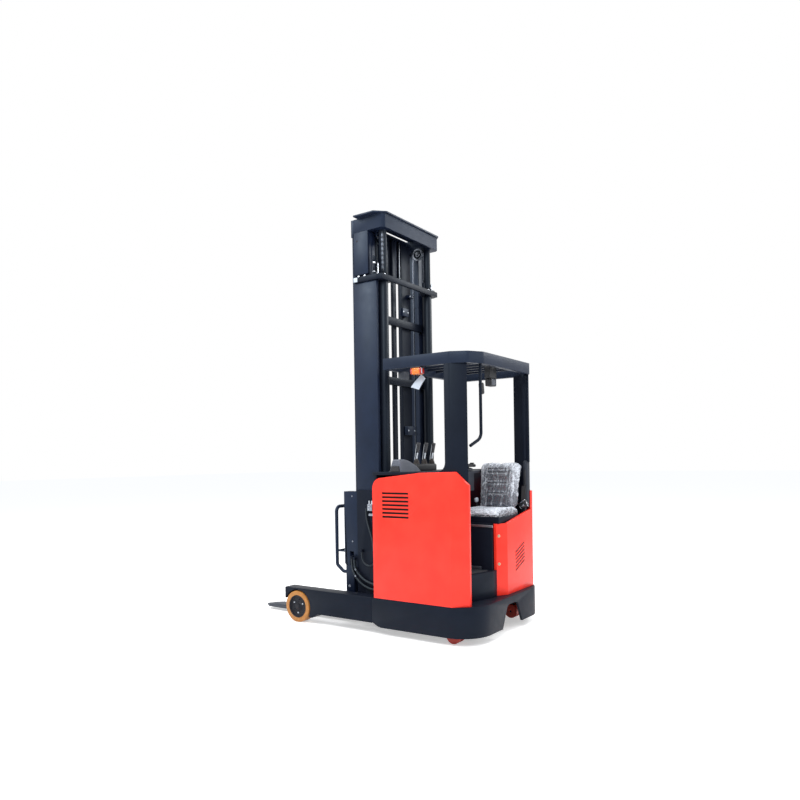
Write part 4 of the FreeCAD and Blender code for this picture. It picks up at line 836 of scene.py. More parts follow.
class TRUCK_OT_load_wheels(bpy.types.Operator):
    """Cast the load wheels: tan tyre with rounded shoulders, dished dark hub, cap and bolts"""

    bl_idname = "truck.load_wheels"
    bl_label = "Load wheels"

    def execute(self, context):
        bolt = context.scene.truck_sizes.bolt / MM * 0.85
        for side, out in (("left", 1), ("right", -1)):
            low, high = span(f"load_tyre_{side}")
            centre = (low + high) / 2
            radius, half = (high.z - low.z) / 2 / MM, (high.y - low.y) / 2 / MM
            rim, turn, face = radius * 0.715, 9, half - 2
            shoulder = [(rim, half - 3), (rim + 3, half), (radius - turn, half),
                        (radius - turn * 0.3, half - turn * 0.3), (radius, half - turn)]
            bm = bmesh.new()
            lathe(bm, [(r, -a) for r, a in shoulder] + shoulder[::-1], centre, "y", 112)
            finished(bm, f"load_tyre_{side}_cast", ["tyre"],
                     f"load_wheel_{side}", [f"load_tyre_{side}"])
            dish = [(0, -face), (rim - 0.4, -face), (rim - 0.4, face - 1), (rim - 2, face),
                    (rim - 7, face), (rim - 9, face - 2), (rim - 12, face - 15),
                    (rim - 18, face - 19), (42, face - 19), (36, face - 12), (27, face - 9),
                    (25, face - 3), (20, face), (12, face + 1), (0, face + 1.4)]
            bm = bmesh.new()
            lathe(bm, [(r, a * out) for r, a in dish], centre, "y", 96)
            for n in range(6):
                angle = math.radians(33 + 60 * n)
                foot = off(centre, math.cos(angle) * 56, out * (face - 20),
                           math.sin(angle) * 56)
                drum(bm, foot, off(foot, 0, out * 3), 9, None, 20, 0.6, 2)
                # Every other bolt head is drawn in the hub's dark paint: painted shade, for the
                # bolts that the light misses
                drum(bm, foot, off(foot, 0, out * 10), bolt, None, 6, 0.8, 1 - n % 2)
            finished(bm, f"load_hub_{side}_cast", ["hub", "zinc", "chain"],
                     f"load_wheel_{side}", [f"load_hub_{side}"])
        return {"FINISHED"}


# ---------------------------------------------------------------- covers
SLOT_FIELD = ((0.93, 1.16), (-0.65, -0.37))         # z and x of the side louvres


def slot_faces(bm):
    """Give the pockets of the louvre slots painted shade."""
    half = max(abs(v.co.y) for v in bm.verts)
    (z0, z1), (x0, x1) = SLOT_FIELD
    for face in bm.faces:
        middle = face.calc_center_median()
        if half - 14.5 * MM < abs(middle.y) < half - 0.9 * MM and z0 < middle.z < z1 \
                and x0 < middle.x < x1:
            face.material_index = 1


class TRUCK_OT_covers(bpy.types.Operator):
    """Press the red covers: louvred sides, and the tail with its slits and two fasteners"""

    bl_idname = "truck.covers"
    bl_label = "Covers"

    def execute(self, context):
        for side in ("left", "right"):
            rounded_copy(f"side_panel_{side}", "cover", 1.6, 2, 28, "shadow", slot_faces)
        rounded_copy("rear_cover", "cover", 3, 3, 12)
        low, high = span("rear_cover")
        bm = bmesh.new()
        run, rise, pitch = 169, 67, 30
        half = math.hypot(run, rise) / 2
        turn = Matrix.Rotation(-math.atan2(rise, run), 3, "X")
        for n in range(context.scene.truck_sizes.louvres):
            slit = off(low, 0, 297, 211 + pitch * n)
            # Each slit is a dark block: painted shade, under a red lip
            around(bm, slit, (1.2, half, 6.4), 0.4, 1, 1, turn)
            around(bm, off(slit, 0, 0, 7.4), (2.2, half + 3, 1.3), 1.1, 2, 0, turn)
        finished(bm, "tail_louvres", ["cover", "shadow"])
        bm = bmesh.new()
        slab(bm, [(-1.156, -0.474), (-1.156, -0.515), (-1.119, -0.548), (-1.115, -0.543),
                  (-1.1515, -0.511), (-1.1515, -0.474)], "z", 0.965, 1.118, 1)
        finished(bm, "tail_corner", ["cover"])
        bm = bmesh.new()
        out = Vector((-0.84, 0.543, 0)).normalized() * MM
        for height in (0.552, 0.777):
            foot = Vector((low.x + 43 * MM, high.y - 18.5 * MM, height))
            drum(bm, foot - out * 2, foot + out * 2.5, 12, None, 28, 0.8)
            drum(bm, foot, foot + out * 7, 9, 7, 28, 1.2)
            # A dark hex in each head: painted shade of its key recess
            drum(bm, foot, foot + out * 7.6, 2.6, None, 6, 0, 1)
        finished(bm, "tail_fasteners", ["brass", "shadow"])
        return {"FINISHED"}


# ---------------------------------------------------------------- controls
class TRUCK_OT_hood(bpy.types.Operator):
    """Mould the domed cover hood on the deck, with its flange and hand recess"""

    bl_idname = "truck.hood"
    bl_label = "Deck hood"

    def execute(self, context):
        low, high = span("deck_hood")
        wide, tall = high.y - low.y, high.z - low.z
        dome = [(0.0, 0.0), (0.06, 0.17), (0.16, 0.36), (0.3, 0.57), (0.45, 0.76),
                (0.6, 0.9), (0.74, 0.98), (0.86, 1.0), (0.96, 1.0), (1.0, 0.95), (1.0, 0.0)]
        bm = bmesh.new()
        slab(bm, [(low.y + wide * u, low.z + tall * v) for u, v in dome], "x", low.x, high.x)
        for vert in bm.verts:
            lean = -34 if vert.co.x > (low.x + high.x) / 2 else 12
            vert.co.x += lean * MM * ((vert.co.z - low.z) / tall) ** 1.3
        bm.normal_update()
        soften(bm, [e for e in sharp_edges(bm, 50)
                    if max(v.co.z for v in e.verts) > low.z + 1 * MM], 9, 4)
        bm.normal_update()
        cut = low.z + tall * 0.5
        bmesh.ops.bisect_plane(bm, geom=bm.verts[:] + bm.edges[:] + bm.faces[:], dist=1e-6,
                               plane_co=(0, 0, cut), plane_no=(0, 0, 1))
        bm.normal_update()
        side = [f for f in bm.faces if abs(f.normal.y) > 0.95
                and f.calc_center_median().z < cut and f.calc_area() > 1e-4
                and f.calc_center_median().y > high.y - 4 * MM]
        bmesh.ops.inset_individual(bm, faces=side, thickness=5 * MM, depth=-0.1 * MM)
        deep = bmesh.ops.inset_individual(bm, faces=side, thickness=3 * MM, depth=-12 * MM)
        mark(bm, 0)
        # The hand recess is drawn in black plastic: painted shade inside it
        for face in side + deep["faces"]:
            face.material_index = 1
        block(bm, off(low, 1, 1), off((high.x, high.y, low.z), -1, 0, 5), 1.5)
        finished(bm, "deck_hood_moulded", ["hood", "plastic"],
                 replaces=["deck_hood"], angle=40)
        return {"FINISHED"}


# Profile of a lever's rubber bellows
BELLOWS = [(0, -4), (24, -4), (26, 0), (24, 5), (26, 10), (21, 15), (23, 20), (18, 25),
           (19, 30), (13, 36), (9, 42), (0, 44)]


class TRUCK_OT_levers(bpy.types.Operator):
    """Set the three lever arms in their bellows, with waisted grips, on the lever block"""

    bl_idname = "truck.levers"
    bl_label = "Levers"

    def execute(self, context):
        low, high = span("lever_bank")
        margin, pitch = 60 * MM, 120 * MM
        x, top = (low.x + high.x) / 2, low.z + margin
        near, far = off((low.x, low.y, top), 28, 28), off((high.x, high.y, top), -28, -28)
        bm = bmesh.new()
        block(bm, (near.x, near.y, low.z), off(far, 0, 0, -6), 9, 3)
        block(bm, off(near, 6, 6, -8), off(far, -6, -6, -2), 2)
        for n in range(3):
            y = low.y + margin + pitch * n
            lathe(bm, BELLOWS, (x, y, top), "z", 36, 1)
            foot, waist = off((x, y, top), 0, 0, 30), off((x, y, high.z), -9, -6, -84)
            head = off((x, y, high.z), -17, -11, -4)
            grow, aside = (head - waist).normalized() * MM, Vector((13, 9, 0)) * MM
            for start, end, radius, end_radius, sides, soft, paint in (
                    (foot, waist, 6.5, None, 20, 0, 2),
                    (waist - grow * 4, waist + grow * 10, 11, 13, 24, 2, 3),
                    (waist + grow * 8, waist + grow * 50, 12, 15, 24, 1, 3),
                    (waist + grow * 49, head, 15, 17.5, 24, 5, 3),
                    (head - grow * 2, head + grow * 1.5, 7, None, 20, 0.8, 1),
                    (foot + aside, head + aside - grow * 14, 2.6, None, 12, 0, 2),
                    (head + aside - grow * 17, head - grow * 17, 2.6, None, 12, 0, 2)):
                drum(bm, start, end, radius, end_radius, sides, soft, paint)
        for along in (110, 232):
            stack(bm, off((far.x, low.y, top), -8, along), [(-9, 5, 8, 4)], 20, 1.5)
        finished(bm, "lever_bank_fitted", ["plastic", "grip", "zinc", "lever", "roller"],
                 replaces=["lever_bank"])
        return {"FINISHED"}


class TRUCK_OT_steering(bpy.types.Operator):
    """Mount the small domed steering wheel with its spinner knob and boss"""

    bl_idname = "truck.steering"
    bl_label = "Steering wheel"

    def execute(self, context):
        low, high = span("steering_wheel")
        half = (high.y - low.y) / 2
        centre = Vector((high.x - half, (low.y + high.y) / 2, low.z + 30 * MM))
        rim = half / MM
        disc = [(0, 2), (rim * 0.55, 2), (rim - 9, 0), (rim - 3, 2.5), (rim, 8), (rim, 17),
                (rim - 4, 23), (rim - 16, 27.5), (rim * 0.45, 28.5), (0, 26)]
        boss = [(0, -29.8), (46, -29.8), (50, -27), (50, -20), (46, -12), (30, -7), (18, -4),
                (18, 3), (0, 3)]
        knob = [(0, 25), (9, 25), (10, 27), (17, 29), (20, 32), (16, 36), (7, 38), (0, 38)]
        bm = bmesh.new()
        lathe(bm, disc, centre, "z", 72)
        lathe(bm, boss, centre, "z", 56, 1)
        lathe(bm, knob, off(centre, -48), "z", 32)
        finished(bm, "steering_wheel_turned", ["plastic", "console"],
                 replaces=["steering_wheel"])
        return {"FINISHED"}


CAB_FLOOR = 0.505           # height of the plate under the driver's feet
# Corners of the mat, seen from above
MAT_PLAN = [(-0.72, 0.15), (-0.72, 0.585), (-0.935, 0.585), (-0.955, 0.51), (-1.0, 0.43),
            (-1.062, 0.17), (-1.062, 0.15)]


class TRUCK_OT_cab(bpy.types.Operator):
    """Lay the ribbed mat and pedals, and trim the seat wall with a pale folded lip"""

    bl_idname = "truck.cab"
    bl_label = "Cab floor and trim"

    def execute(self, context):
        low, high = span("cab_floor")
        bm = bmesh.new()
        slab(bm, MAT_PLAN, "z", CAB_FLOOR, CAB_FLOOR + 6 * MM, 1.5)
        for (x0, y0, z0), (x1, y1, z1), soft in (
                ((-0.93, 0.245, 5), (-0.80, 0.315, 22), 4),
                ((-0.93, 0.395, 5), (-0.80, 0.485, 22), 4),
                ((-0.985, 0.105, 0.2), (-0.74, 0.128, 26), 3)):
            block(bm, (x0, y0, CAB_FLOOR + z0 * MM), (x1, y1, CAB_FLOOR + z1 * MM), soft, 2, 1)
        finished(bm, "cab_mat", ["mat", "console"])
        bm = bmesh.new()
        # The pale lip stands in for the light along the wall's top edge: painted highlight
        block(bm, (low.x + 18 * MM, 0.092, 0.845), (high.x - 4 * MM, 0.101, 0.866), 2)
        finished(bm, "seat_wall_lip", ["worn"])
        return {"FINISHED"}


# ---------------------------------------------------------------- lamps and card
# Top, rear, foot and front corner of the hanging card
CARD_CORNERS = [Vector(corner) for corner in ((-0.682, 0.5, 2.068), (-0.729, 0.5, 2.034),
                                              (-0.669, 0.5, 1.948), (-0.585, 0.5, 1.974))]


class TRUCK_OT_lamps(bpy.types.Operator):
    """Hang the amber beacon, the lamps and the blank card under the guard"""

    bl_idname = "truck.lamps"
    bl_label = "Lamps and card"

    def execute(self, context):
        low, high = span("amber_lamp")
        bm = bmesh.new()
        block(bm, off(low, 13, 1), off(high, -13, -1, -7), 9, 4)
        for x0, x1 in ((low.x, low.x + 19 * MM), (high.x - 19 * MM, high.x)):
            block(bm, off((x0, low.y, low.z), 0, 4, 3), off((x1, high.y, high.z), 0, -4, -9),
                  6, 3, 1)
        block(bm, off((low.x, low.y, high.z), 4, 0, -9), off(high, -4), 2, 2, 2)
        block(bm, off((low.x, high.y, low.z), -3, -17, 8),
              off((low.x, high.y, high.z), 2, -9, -12), 1, 2, 3)
        finished(bm, "amber_lamp_lens", ["lens", "red_lens", "plastic", "card"],
                 replaces=["amber_lamp"])

        low, high = span("roof_lamps")
        bm = bmesh.new()
        block(bm, (low.x + 4 * MM, -0.060, 2.052), (high.x - 6 * MM, 0.060, high.z), 4)
        block(bm, (low.x, -0.050, low.z + 78 * MM), (high.x, 0.042, 2.056), 9, 3)
        block(bm, (low.x - 0.5 * MM, -0.042, low.z + 86 * MM), (low.x + 6 * MM, 0.034, 2.046),
              2, 2, 1)
        hung = off((low.x, high.y, low.z), 20, -26)
        drum(bm, (hung.x, hung.y, high.z), off(hung, 0, 0, 80), 5, None, 20)
        block(bm, off(hung, -20, -21), off(hung, 18, 21, 94), 15, 4, 0,
              Matrix.Rotation(math.radians(-7), 3, "X"))
        finished(bm, "roof_lamps_fitted", ["plastic", "glass"],
                 replaces=["roof_lamps"])

        edge = span("guard_roof")[1].x
        bm = bmesh.new()
        block(bm, (edge - 78 * MM, 0.345, 2.058), (edge - 12 * MM, 0.415, 2.119), 6, 3)
        block(bm, (edge - 17 * MM, 0.353, 2.066), (edge - 9 * MM, 0.407, 2.108), 3, 2, 1)
        finished(bm, "front_lamp", ["console", "glass"])

        top, rear, foot, front = CARD_CORNERS
        bm = bmesh.new()
        bmesh.ops.create_grid(bm, x_segments=14, y_segments=20, size=0.5)
        for vert in bm.verts:
            u, v = vert.co.x + 0.5, vert.co.y + 0.5
            place = top.lerp(rear, u).lerp(front.lerp(foot, u), v)
            place.y += 9 * MM * math.sin(v * 2.4) - 5 * MM * math.cos(u * 3.0)
            vert.co = place
        snip = [v for v in bm.verts if len(v.link_edges) == 2]
        bmesh.ops.bevel(bm, geom=snip, offset=9 * MM, offset_type="OFFSET", segments=4,
                        profile=0.5, affect="VERTICES", clamp_overlap=True, material=-1)
        bmesh.ops.solidify(bm, geom=bm.faces[:], thickness=0.8 * MM)
        mark(bm, 0)
        tie = off(top.lerp(rear, 0.45), 4, -5, -12)
        drum(bm, tie, (-0.712, 0.52, 2.13), 1.1, None, 10, 0, 1)
        finished(bm, "blank_card", ["card", "plastic"])
        return {"FINISHED"}


# ---------------------------------------------------------------- seat
VOXEL = 5 * MM              # size of the voxels that skin a pad
PUFF = 22 * MM              # how far air may swell it
AIR_FRAMES = 20             # steps of the cloth that swells it


def evaluated(thing):
    """The mesh that an object's modifiers give now."""
    graph = bpy.context.evaluated_depsgraph_get()
    return bpy.data.meshes.new_from_object(thing.evaluated_get(graph))


def settle(thing):
    """Keep what the modifiers give and take them off."""
    mesh = evaluated(thing)
    thing.modifiers.clear()
    thing.data = mesh


def places(mesh):
    """The vertices of a mesh as rows of x, y and z."""
    flat = np.empty(len(mesh.vertices) * 3)
    mesh.vertices.foreach_get("co", flat)
    return flat.reshape(-1, 3)


def normals_of(mesh):
    """The vertex normals of a mesh as rows of x, y and z."""
    return np.array([v.normal for v in mesh.vertices])


def swollen_pad(bm, name):
    """Skin a shell with voxels and swell it as cloth under air pressure."""
    mesh = bpy.data.meshes.new(name)
    bmesh.ops.recalc_face_normals(bm, faces=bm.faces)
    bm.to_mesh(mesh)
    bm.free()
    pad = bpy.data.objects.new(name, mesh)
    scene = bpy.context.scene
    scene.collection.objects.link(pad)
    skin = pad.modifiers.new("skin", "REMESH")
    skin.mode, skin.voxel_size = "VOXEL", VOXEL
    settle(pad)
    start = places(pad.data)
    cloth = pad.modifiers.new("air", "CLOTH")
    cloth.settings.use_pressure = True
    cloth.settings.uniform_pressure_force = 4.0
    cloth.settings.quality = 5
    cloth.settings.effector_weights.gravity = 0.0
    cloth.point_cache.frame_start, cloth.point_cache.frame_end = 1, AIR_FRAMES
    for number in range(1, AIR_FRAMES + 1):
        scene.frame_set(number)
    moved = places(evaluated(pad))
    pad.modifiers.clear()
    scene.frame_set(1)
    step = moved - start
    far = np.linalg.norm(step, axis=1)
    step *= np.minimum(1.0, PUFF / np.maximum(far, 1e-9))[:, None]
    pad.data.vertices.foreach_set("co", (start + step).ravel())
    return pad


def smooth_once(pad):
    """One level of subdivision, kept in the mesh."""
    level = pad.modifiers.new("smooth", "SUBSURF")
    level.levels = level.render_levels = 1
    settle(pad)


def dent(distance, width):
    """Depth of a sewn channel, 1 at its thread, at a distance from it; width is in mm."""
    return np.exp(-(distance / (width * MM)) ** 2)


def slope(value, start, end):
    """0 up to start, 1 from end on, and straight between them."""
    return np.clip((value - start) / (end - start), 0, 1)


def bounded(rows, low, high, under, over):
    """Keep the rows within a box that is wider than low and high by millimetres."""
    return np.clip(rows, np.array(low) - np.array(under) * MM,
                   np.array(high) + np.array(over) * MM)


def upholster(pad, node, rows, inside, channels, painted_film_shine, depth, seam_shade, run, seed):
    """inside keeps rows within bounds; channels gives each channel's depth, 0 to 1, at rows and
    normals, which depth scales in millimetres; the seam shade factor says how dark the channels
    are drawn, as painted shade."""
    pad.data.vertices.foreach_set("co", inside(rows).ravel())
    loose = pad.data.copy()
    smooth_once(pad)
    mesh = pad.data
    rows, normals = places(mesh), normals_of(mesh)
    sewn = channels(rows, normals)
    mesh.vertices.foreach_set("co", (rows - normals * sewn[:, None] * depth * MM).ravel())
    seam = mesh.attributes.new("sewn", "FLOAT", "POINT")
    seam.data.foreach_set("value", np.clip(sewn * seam_shade, 0, 1))
    mesh.materials.clear()
    mesh.materials.append(MATERIALS["seat"])
    mesh.shade_smooth()
    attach(pad, "chassis")
    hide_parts(node)
    wrap_film(loose, f"{node}_wrap", run, seed, inside, painted_film_shine)


def wrap_film(source, name, run, seed, inside, painted_film_shine):
    """Pull a wrinkled film over a pad: ridges run along one axis and gather here and there.

    The shine function, given places and normals, says how white the film is drawn besides its
    ridges: painted highlight where it catches the light."""
    film = bpy.data.objects.new(name, source)
    bpy.context.scene.collection.objects.link(film)
    smooth_once(film)
    mesh = film.data
    rows, normals = places(mesh), normals_of(mesh)
    ridges, swell = np.empty(len(rows)), np.empty(len(rows))
    for n, place in enumerate(rows):
        at = Vector(place)
        bend = noise.noise(at * 9 + Vector((seed, 0, 0))) * 1.6
        long = Vector((at.x * run[0] + bend, at.y * run[1] + bend, at.z * run[2] + seed))
        first = 1 - min(1, abs(noise.noise(long)) * 4.5)
        second = 1 - min(1, abs(noise.noise(long * 2.1 + Vector((3, 7, seed)))) * 3.6)
        ridges[n] = first ** 1.4 + 0.6 * second ** 1.8
        swell[n] = 0.35 * (bend / 1.6 + 0.5)
    gap = bpy.context.scene.truck_sizes.film * (0.25 + 0.9 * ridges + swell)
    mesh.vertices.foreach_set("co", inside(rows + normals * gap[:, None]).ravel())
    shine_amount = painted_film_shine(rows, normals)
    white = mesh.attributes.new("creases_and_shine", "FLOAT", "POINT")
    # Ridges are drawn white too: painted highlight on the creases, besides their own whitening
    shine_amount += ridges * (0.45 + 0.8 * np.abs(shine_amount))
    white.data.foreach_set("value", np.clip(shine_amount, 0, 1))
    mesh.materials.clear()
    mesh.materials.append(MATERIALS["film"])
    mesh.shade_smooth()
    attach(film, "chassis")


class TRUCK_OT_seat(bpy.types.Operator):
    """Swell the seat cushion and the back, sew their channels and wrap them in clear film"""

    bl_idname = "truck.seat"
    bl_label = "Seat"

    def execute(self, context):
        self.cushion(context.scene.truck_sizes.pleat)
        self.back()
        return {"FINISHED"}

    def cushion(self, pleat):
        """The cushion: its two sides rise, and channels cross it between two long seams."""
        low, high = span("seat_cushion")
        shy = 1 * MM
        bm = bmesh.new()
        slab(bm, arc_corners((low.x + shy, low.y + shy), (high.x - shy, high.y - shy), 48),
             "z", low.z + 4 * MM, high.z - 14 * MM, 9, 3)
        pad = swollen_pad(bm, "seat_cushion_sewn")
        rows = places(pad.data)
        seams = (low.x + 0.085, high.x - 0.085)
        rise = slope(rows[:, 0], seams[0], seams[0] - 0.08) \
            + slope(rows[:, 0], seams[1], seams[1] + 0.08)
        upper = slope(rows[:, 2], low.z + 0.02, low.z + 0.05)
        rows[:, 2] += upper * (rise ** 2 * (3 - 2 * rise) * 13 * MM - 3 * MM)

        def inside(rows):
            return bounded(rows, low, high, (9, -1, -0.5), (6, 9, 18))

        def channels(rows, normals):
            x, y, z = rows.T
            sunk = 0.8 * dent(z - low.z - 15 * MM, 3.5) * (np.abs(normals[:, 2]) < 0.75)
            top = (normals[:, 2] > 0.5) & (y < high.y - 0.05) & (y > low.y + 0.03)
            for seam in seams:
                sunk += dent(x - seam, 4.5) * top
            between = top & (np.abs(x - (low.x + high.x) / 2) < 0.092)
            for n in range(1, 6):
                sunk += dent(y - low.y - 0.03 - n * pleat, 5) * between
            return sunk

        # Painted highlight: the film is drawn whiter on the cushion's top and front, and less
        # white in the channels
        def painted_film_shine(rows, normals):
            return 0.06 + 0.7 * np.clip(normals[:, 2] * 1.4 - 0.3, 0, 1) \
                + 0.5 * (normals[:, 1] > 0.5) * (rows[:, 2] > low.z + 17 * MM) \
                - 0.4 * channels(rows, normals)

        upholster(pad, "seat_cushion", rows, inside, channels, painted_film_shine, 5, 1,
                  (9, 30, 34), 3.7)

    def back(self):
        """The back: waisted, leaning, with a framed middle that three channels cross."""
        low, high = span("seat_back")
        foot, top, lean, middle = low.z, high.z, 70 * MM, (low.x + high.x) / 2
        tall = top - foot
        bm = bmesh.new()
        slab(bm, arc_corners((low.x, foot), (high.x, top), 42), "y", high.y - 82 * MM,
             high.y - 10 * MM, 18, 4)
        for vert in bm.verts:
            rise = (vert.co.z - foot) / tall
            waist = 0.98 + 0.08 * rise - 0.1 * max(0.0, 1 - rise / 0.2) ** 2
            vert.co.x = middle + (vert.co.x - middle) * waist
            vert.co.y -= lean * rise
        pad = swollen_pad(bm, "seat_back_sewn")

        def inside(rows):
            rows[:, 1] += lean * (rows[:, 2] - foot) / tall
            rows = bounded(rows, (low.x, high.y, foot), high, (8, 90, -2), (8, 7, 9))
            rows[:, 1] -= lean * (rows[:, 2] - foot) / tall
            return rows

        def channels(rows, normals):
            x, z = np.abs(rows[:, 0] - middle), rows[:, 2]
            half, ahead = 0.104, normals[:, 1] > 0.35
            body = ahead & (z < top - 0.045) & (z > foot + 0.035)
            sunk = 0.9 * dent(x - half, 4.5) * body
            sunk += 0.7 * dent(z - top + 0.043, 4.5) * (ahead & (x < half))
            for share in (0.19, 0.43, 0.66):
                sunk += dent(z - top + share * tall, 6) * (body & (x < half - 4 * MM))
            return sunk

        # Painted highlight: the film is drawn whiter up the back's sides and over its crown,
        # and less white in the channels
        def painted_film_shine(rows, normals):
            side = slope(np.abs(rows[:, 0] - middle), 0.095, 0.14)
            upper = slope(rows[:, 2], foot + 0.08, foot + 0.22)
            crown = slope(rows[:, 2], top - 0.04, top - 0.01)
            return 0.03 + 0.45 * upper * np.maximum(side, 0.8 * crown) \
                - 0.3 * channels(rows, normals)

        upholster(pad, "seat_back", places(pad.data), inside, channels, painted_film_shine, 8, 0.55,
                  (34, 26, 8), 8.2)


class TRUCK_OT_belt(bpy.types.Operator):
    """Thread the belt: webbing from its housing, the buckle and the latch on the far side"""

    bl_idname = "truck.belt"
    bl_label = "Seat belt"

    def execute(self, context):
        low, high = span("belt_pod")
        bm = bmesh.new()
        block(bm, off(low, 19, 38.5), (high.x, high.y, 0.985), 4, 3)
        block(bm, (low.x, low.y, 0.977), (low.x + 38 * MM, high.y, high.z), 18.5, 6)
        slot = (low.x, high.y, 1.02)
        block(bm, off(slot, 8, -1), off(slot, 30, 2, 280), 1.5, 2, 1)
        finished(bm, "belt_pod_moulded", ["pod", "plastic"],
                 replaces=["belt_pod"])
        bm = bmesh.new()
        strap = [(high.y + y * MM, z) for y, z in ((1, 1.16), (12, 1.12), (19, 1.075),
                                                   (22, 1.03))]
        outline = strap + [(y + 2.4 * MM, z + 1 * MM) for y, z in reversed(strap)]
        slab(bm, outline, "x", low.x + 4 * MM, low.x + 46 * MM, 0.5, 1)
        turn = Matrix.Rotation(math.radians(34), 3, "Y")
        middle = off((low.x, high.y, 1.005), 26, 24)
        around(bm, middle, (41, 14, 27), 8, 3, 1, turn)
        for shift, size in (((-3, 12, 21), (36, 3, 3)), ((34, 12, -12), (3, 3, 16)),
                            ((-36, 12, -22), (3, 3, 22)), ((4, 13, -10), (13, 3, 8))):
            around(bm, middle + turn @ (Vector(shift) * MM), size, 1.5, 2, 2, turn)
        finished(bm, "belt_buckle", ["webbing", "plastic", "chrome"])
        low, high = span("seat_cushion")
        bm = bmesh.new()
        place = off((high.x, low.y, high.z), 5, 91, 68)
        around(bm, place, (15, 19, 20), 12, 4, 0, Matrix.Rotation(math.radians(-14), 3, "X"))
        drum(bm, off(place, -3, -4, -120), off(place, 0, 0, -16), 7, None, 20, 0, 1)
        finished(bm, "belt_latch", ["card", "plastic"])
        return {"FINISHED"}


# ---------------------------------------------------------------- mast details
HEAD_FOOT = 2.97            # foot of the sheets on the mast's head
CHAIN_Y = 0.29              # each chain's distance from the middle
PULLEY = 50 * MM            # radius that the chains turn about
THICK = 10 * MM             # thickness of a chain across its plates' edges
# Leaf plates of the even and the odd links, in millimetres across the chain
EVEN, ODD = ((-4.6, -1.7), (1.7, 4.6)), ((-7.5, -5), (-1.3, 1.3), (5, 7.5))


def chain_path(x, height, reach, low_front, low_rear, pitch):
    """Pin places of one chain: up its front run, over the pulley and down its rear run."""
    front = [(x + reach, z) for z in np.arange(low_front, height, pitch)]
    turns = int(math.pi * reach / pitch)
    over = [(x + reach * math.cos(math.pi * n / turns), height
             + reach * math.sin(math.pi * n / turns)) for n in range(turns + 1)]
    rear = [(x - reach, z) for z in np.arange(height - pitch, low_rear, -pitch)]
    return front + over + rear


def chain(bm, pins, y, even, odd, wide, pin, paints=(0, 0)):
    """Leaf plates with cut corners from pin to pin, and the pins.

    pin holds a pin's radius, half length and sides; paints the even plates' finish and
    the odd plates'."""
    for n, (start, end) in enumerate(zip(pins, pins[1:])):
        start, end = Vector(start), Vector(end)
        along = (end - start).normalized()
        across = Vector((-along.y, along.x)) * wide * MM
        along *= (end - start).length / 2 + wide * 0.42 * MM
        corners = [(start + end) / 2 + along * u + across * v for u, v in
                   ((1, 0.22), (0.72, 0.5), (-0.72, 0.5), (-1, 0.22), (-1, -0.22),
                    (-0.72, -0.5), (0.72, -0.5), (1, -0.22))]
        for y0, y1 in odd if n % 2 else even:
            slab(bm, [tuple(c) for c in corners], "y", y + y0 * MM, y + y1 * MM, 0, 2,
                 paints[n % 2])
        radius, half, sides = pin
        drum(bm, (start.x, y - half * MM, start.y), (start.x, y + half * MM, start.y), radius,
             None, sides, 0, paints[0])


class TRUCK_OT_chains(bpy.types.Operator):
    """Run the two leaf chains over their grooved pulleys"""

    bl_idname = "truck.chains"
    bl_label = "Lifting chains"

    def execute(self, context):
        low, high = span("lift_chains")
        x, height = (low.x + high.x) / 2, high.z - 91 * MM + PULLEY
        pins = chain_path(x, height, PULLEY + THICK / 2, low.z + 8 * MM,
                          span("outer_bow")[1].z + 6 * MM, context.scene.truck_sizes.link)
        bm = bmesh.new()
        for side in (1, -1):
            chain(bm, pins, side * CHAIN_Y, EVEN, ODD, 9.5, (2.6, 7.9, 6))
        finished(bm, "lift_chains_linked", ["chain"], "inner_mast",
                 ["lift_chains"], 25)
        rim = [(41, -9), (52, -9), (54, -8), (50, -7.4), (49.5, -7.4), (49.5, 7.4), (50, 7.4),
               (54, 8), (52, 9), (41, 9)]
        web = [(10, -5), (42, -5), (42, 5), (10, 5)]
        hub = [(8, -10), (20, -10), (23, -8), (23, 8), (20, 10), (8, 10)]
        bm = bmesh.new()
        for side in (1, -1):
            axle = Vector((x, side * CHAIN_Y, height))
            for part, paint in ((rim, 0), (web, 3), (hub, 0)):
                lathe(bm, part, axle, "y", 48, paint)
            outer = Vector((x, side * 0.355, height))
            drum(bm, off(axle, 0, -side * 20), outer, 11, None, 24, 1.5, 1)
            for turned in (-side, side):
                for start, end, radius, sides, paint in ((19, 9, 13, 24, 3), (22, 18, 8, 6, 1)):
                    drum(bm, off(axle, 0, turned * start), off(axle, 0, turned * end), radius,
                         None, sides, 1, paint)
            y0, y1 = sorted((outer.y, outer.y - side * 10 * MM))
            block(bm, (x - 11 * MM, y0, height - 12 * MM), (x + 11 * MM, y1, high.z + 30 * MM),
                  2, 2, 2)
        finished(bm, "chain_pulleys", ["pulley", "zinc", "mast", "barrel"],
                 "inner_mast")
        return {"FINISHED"}


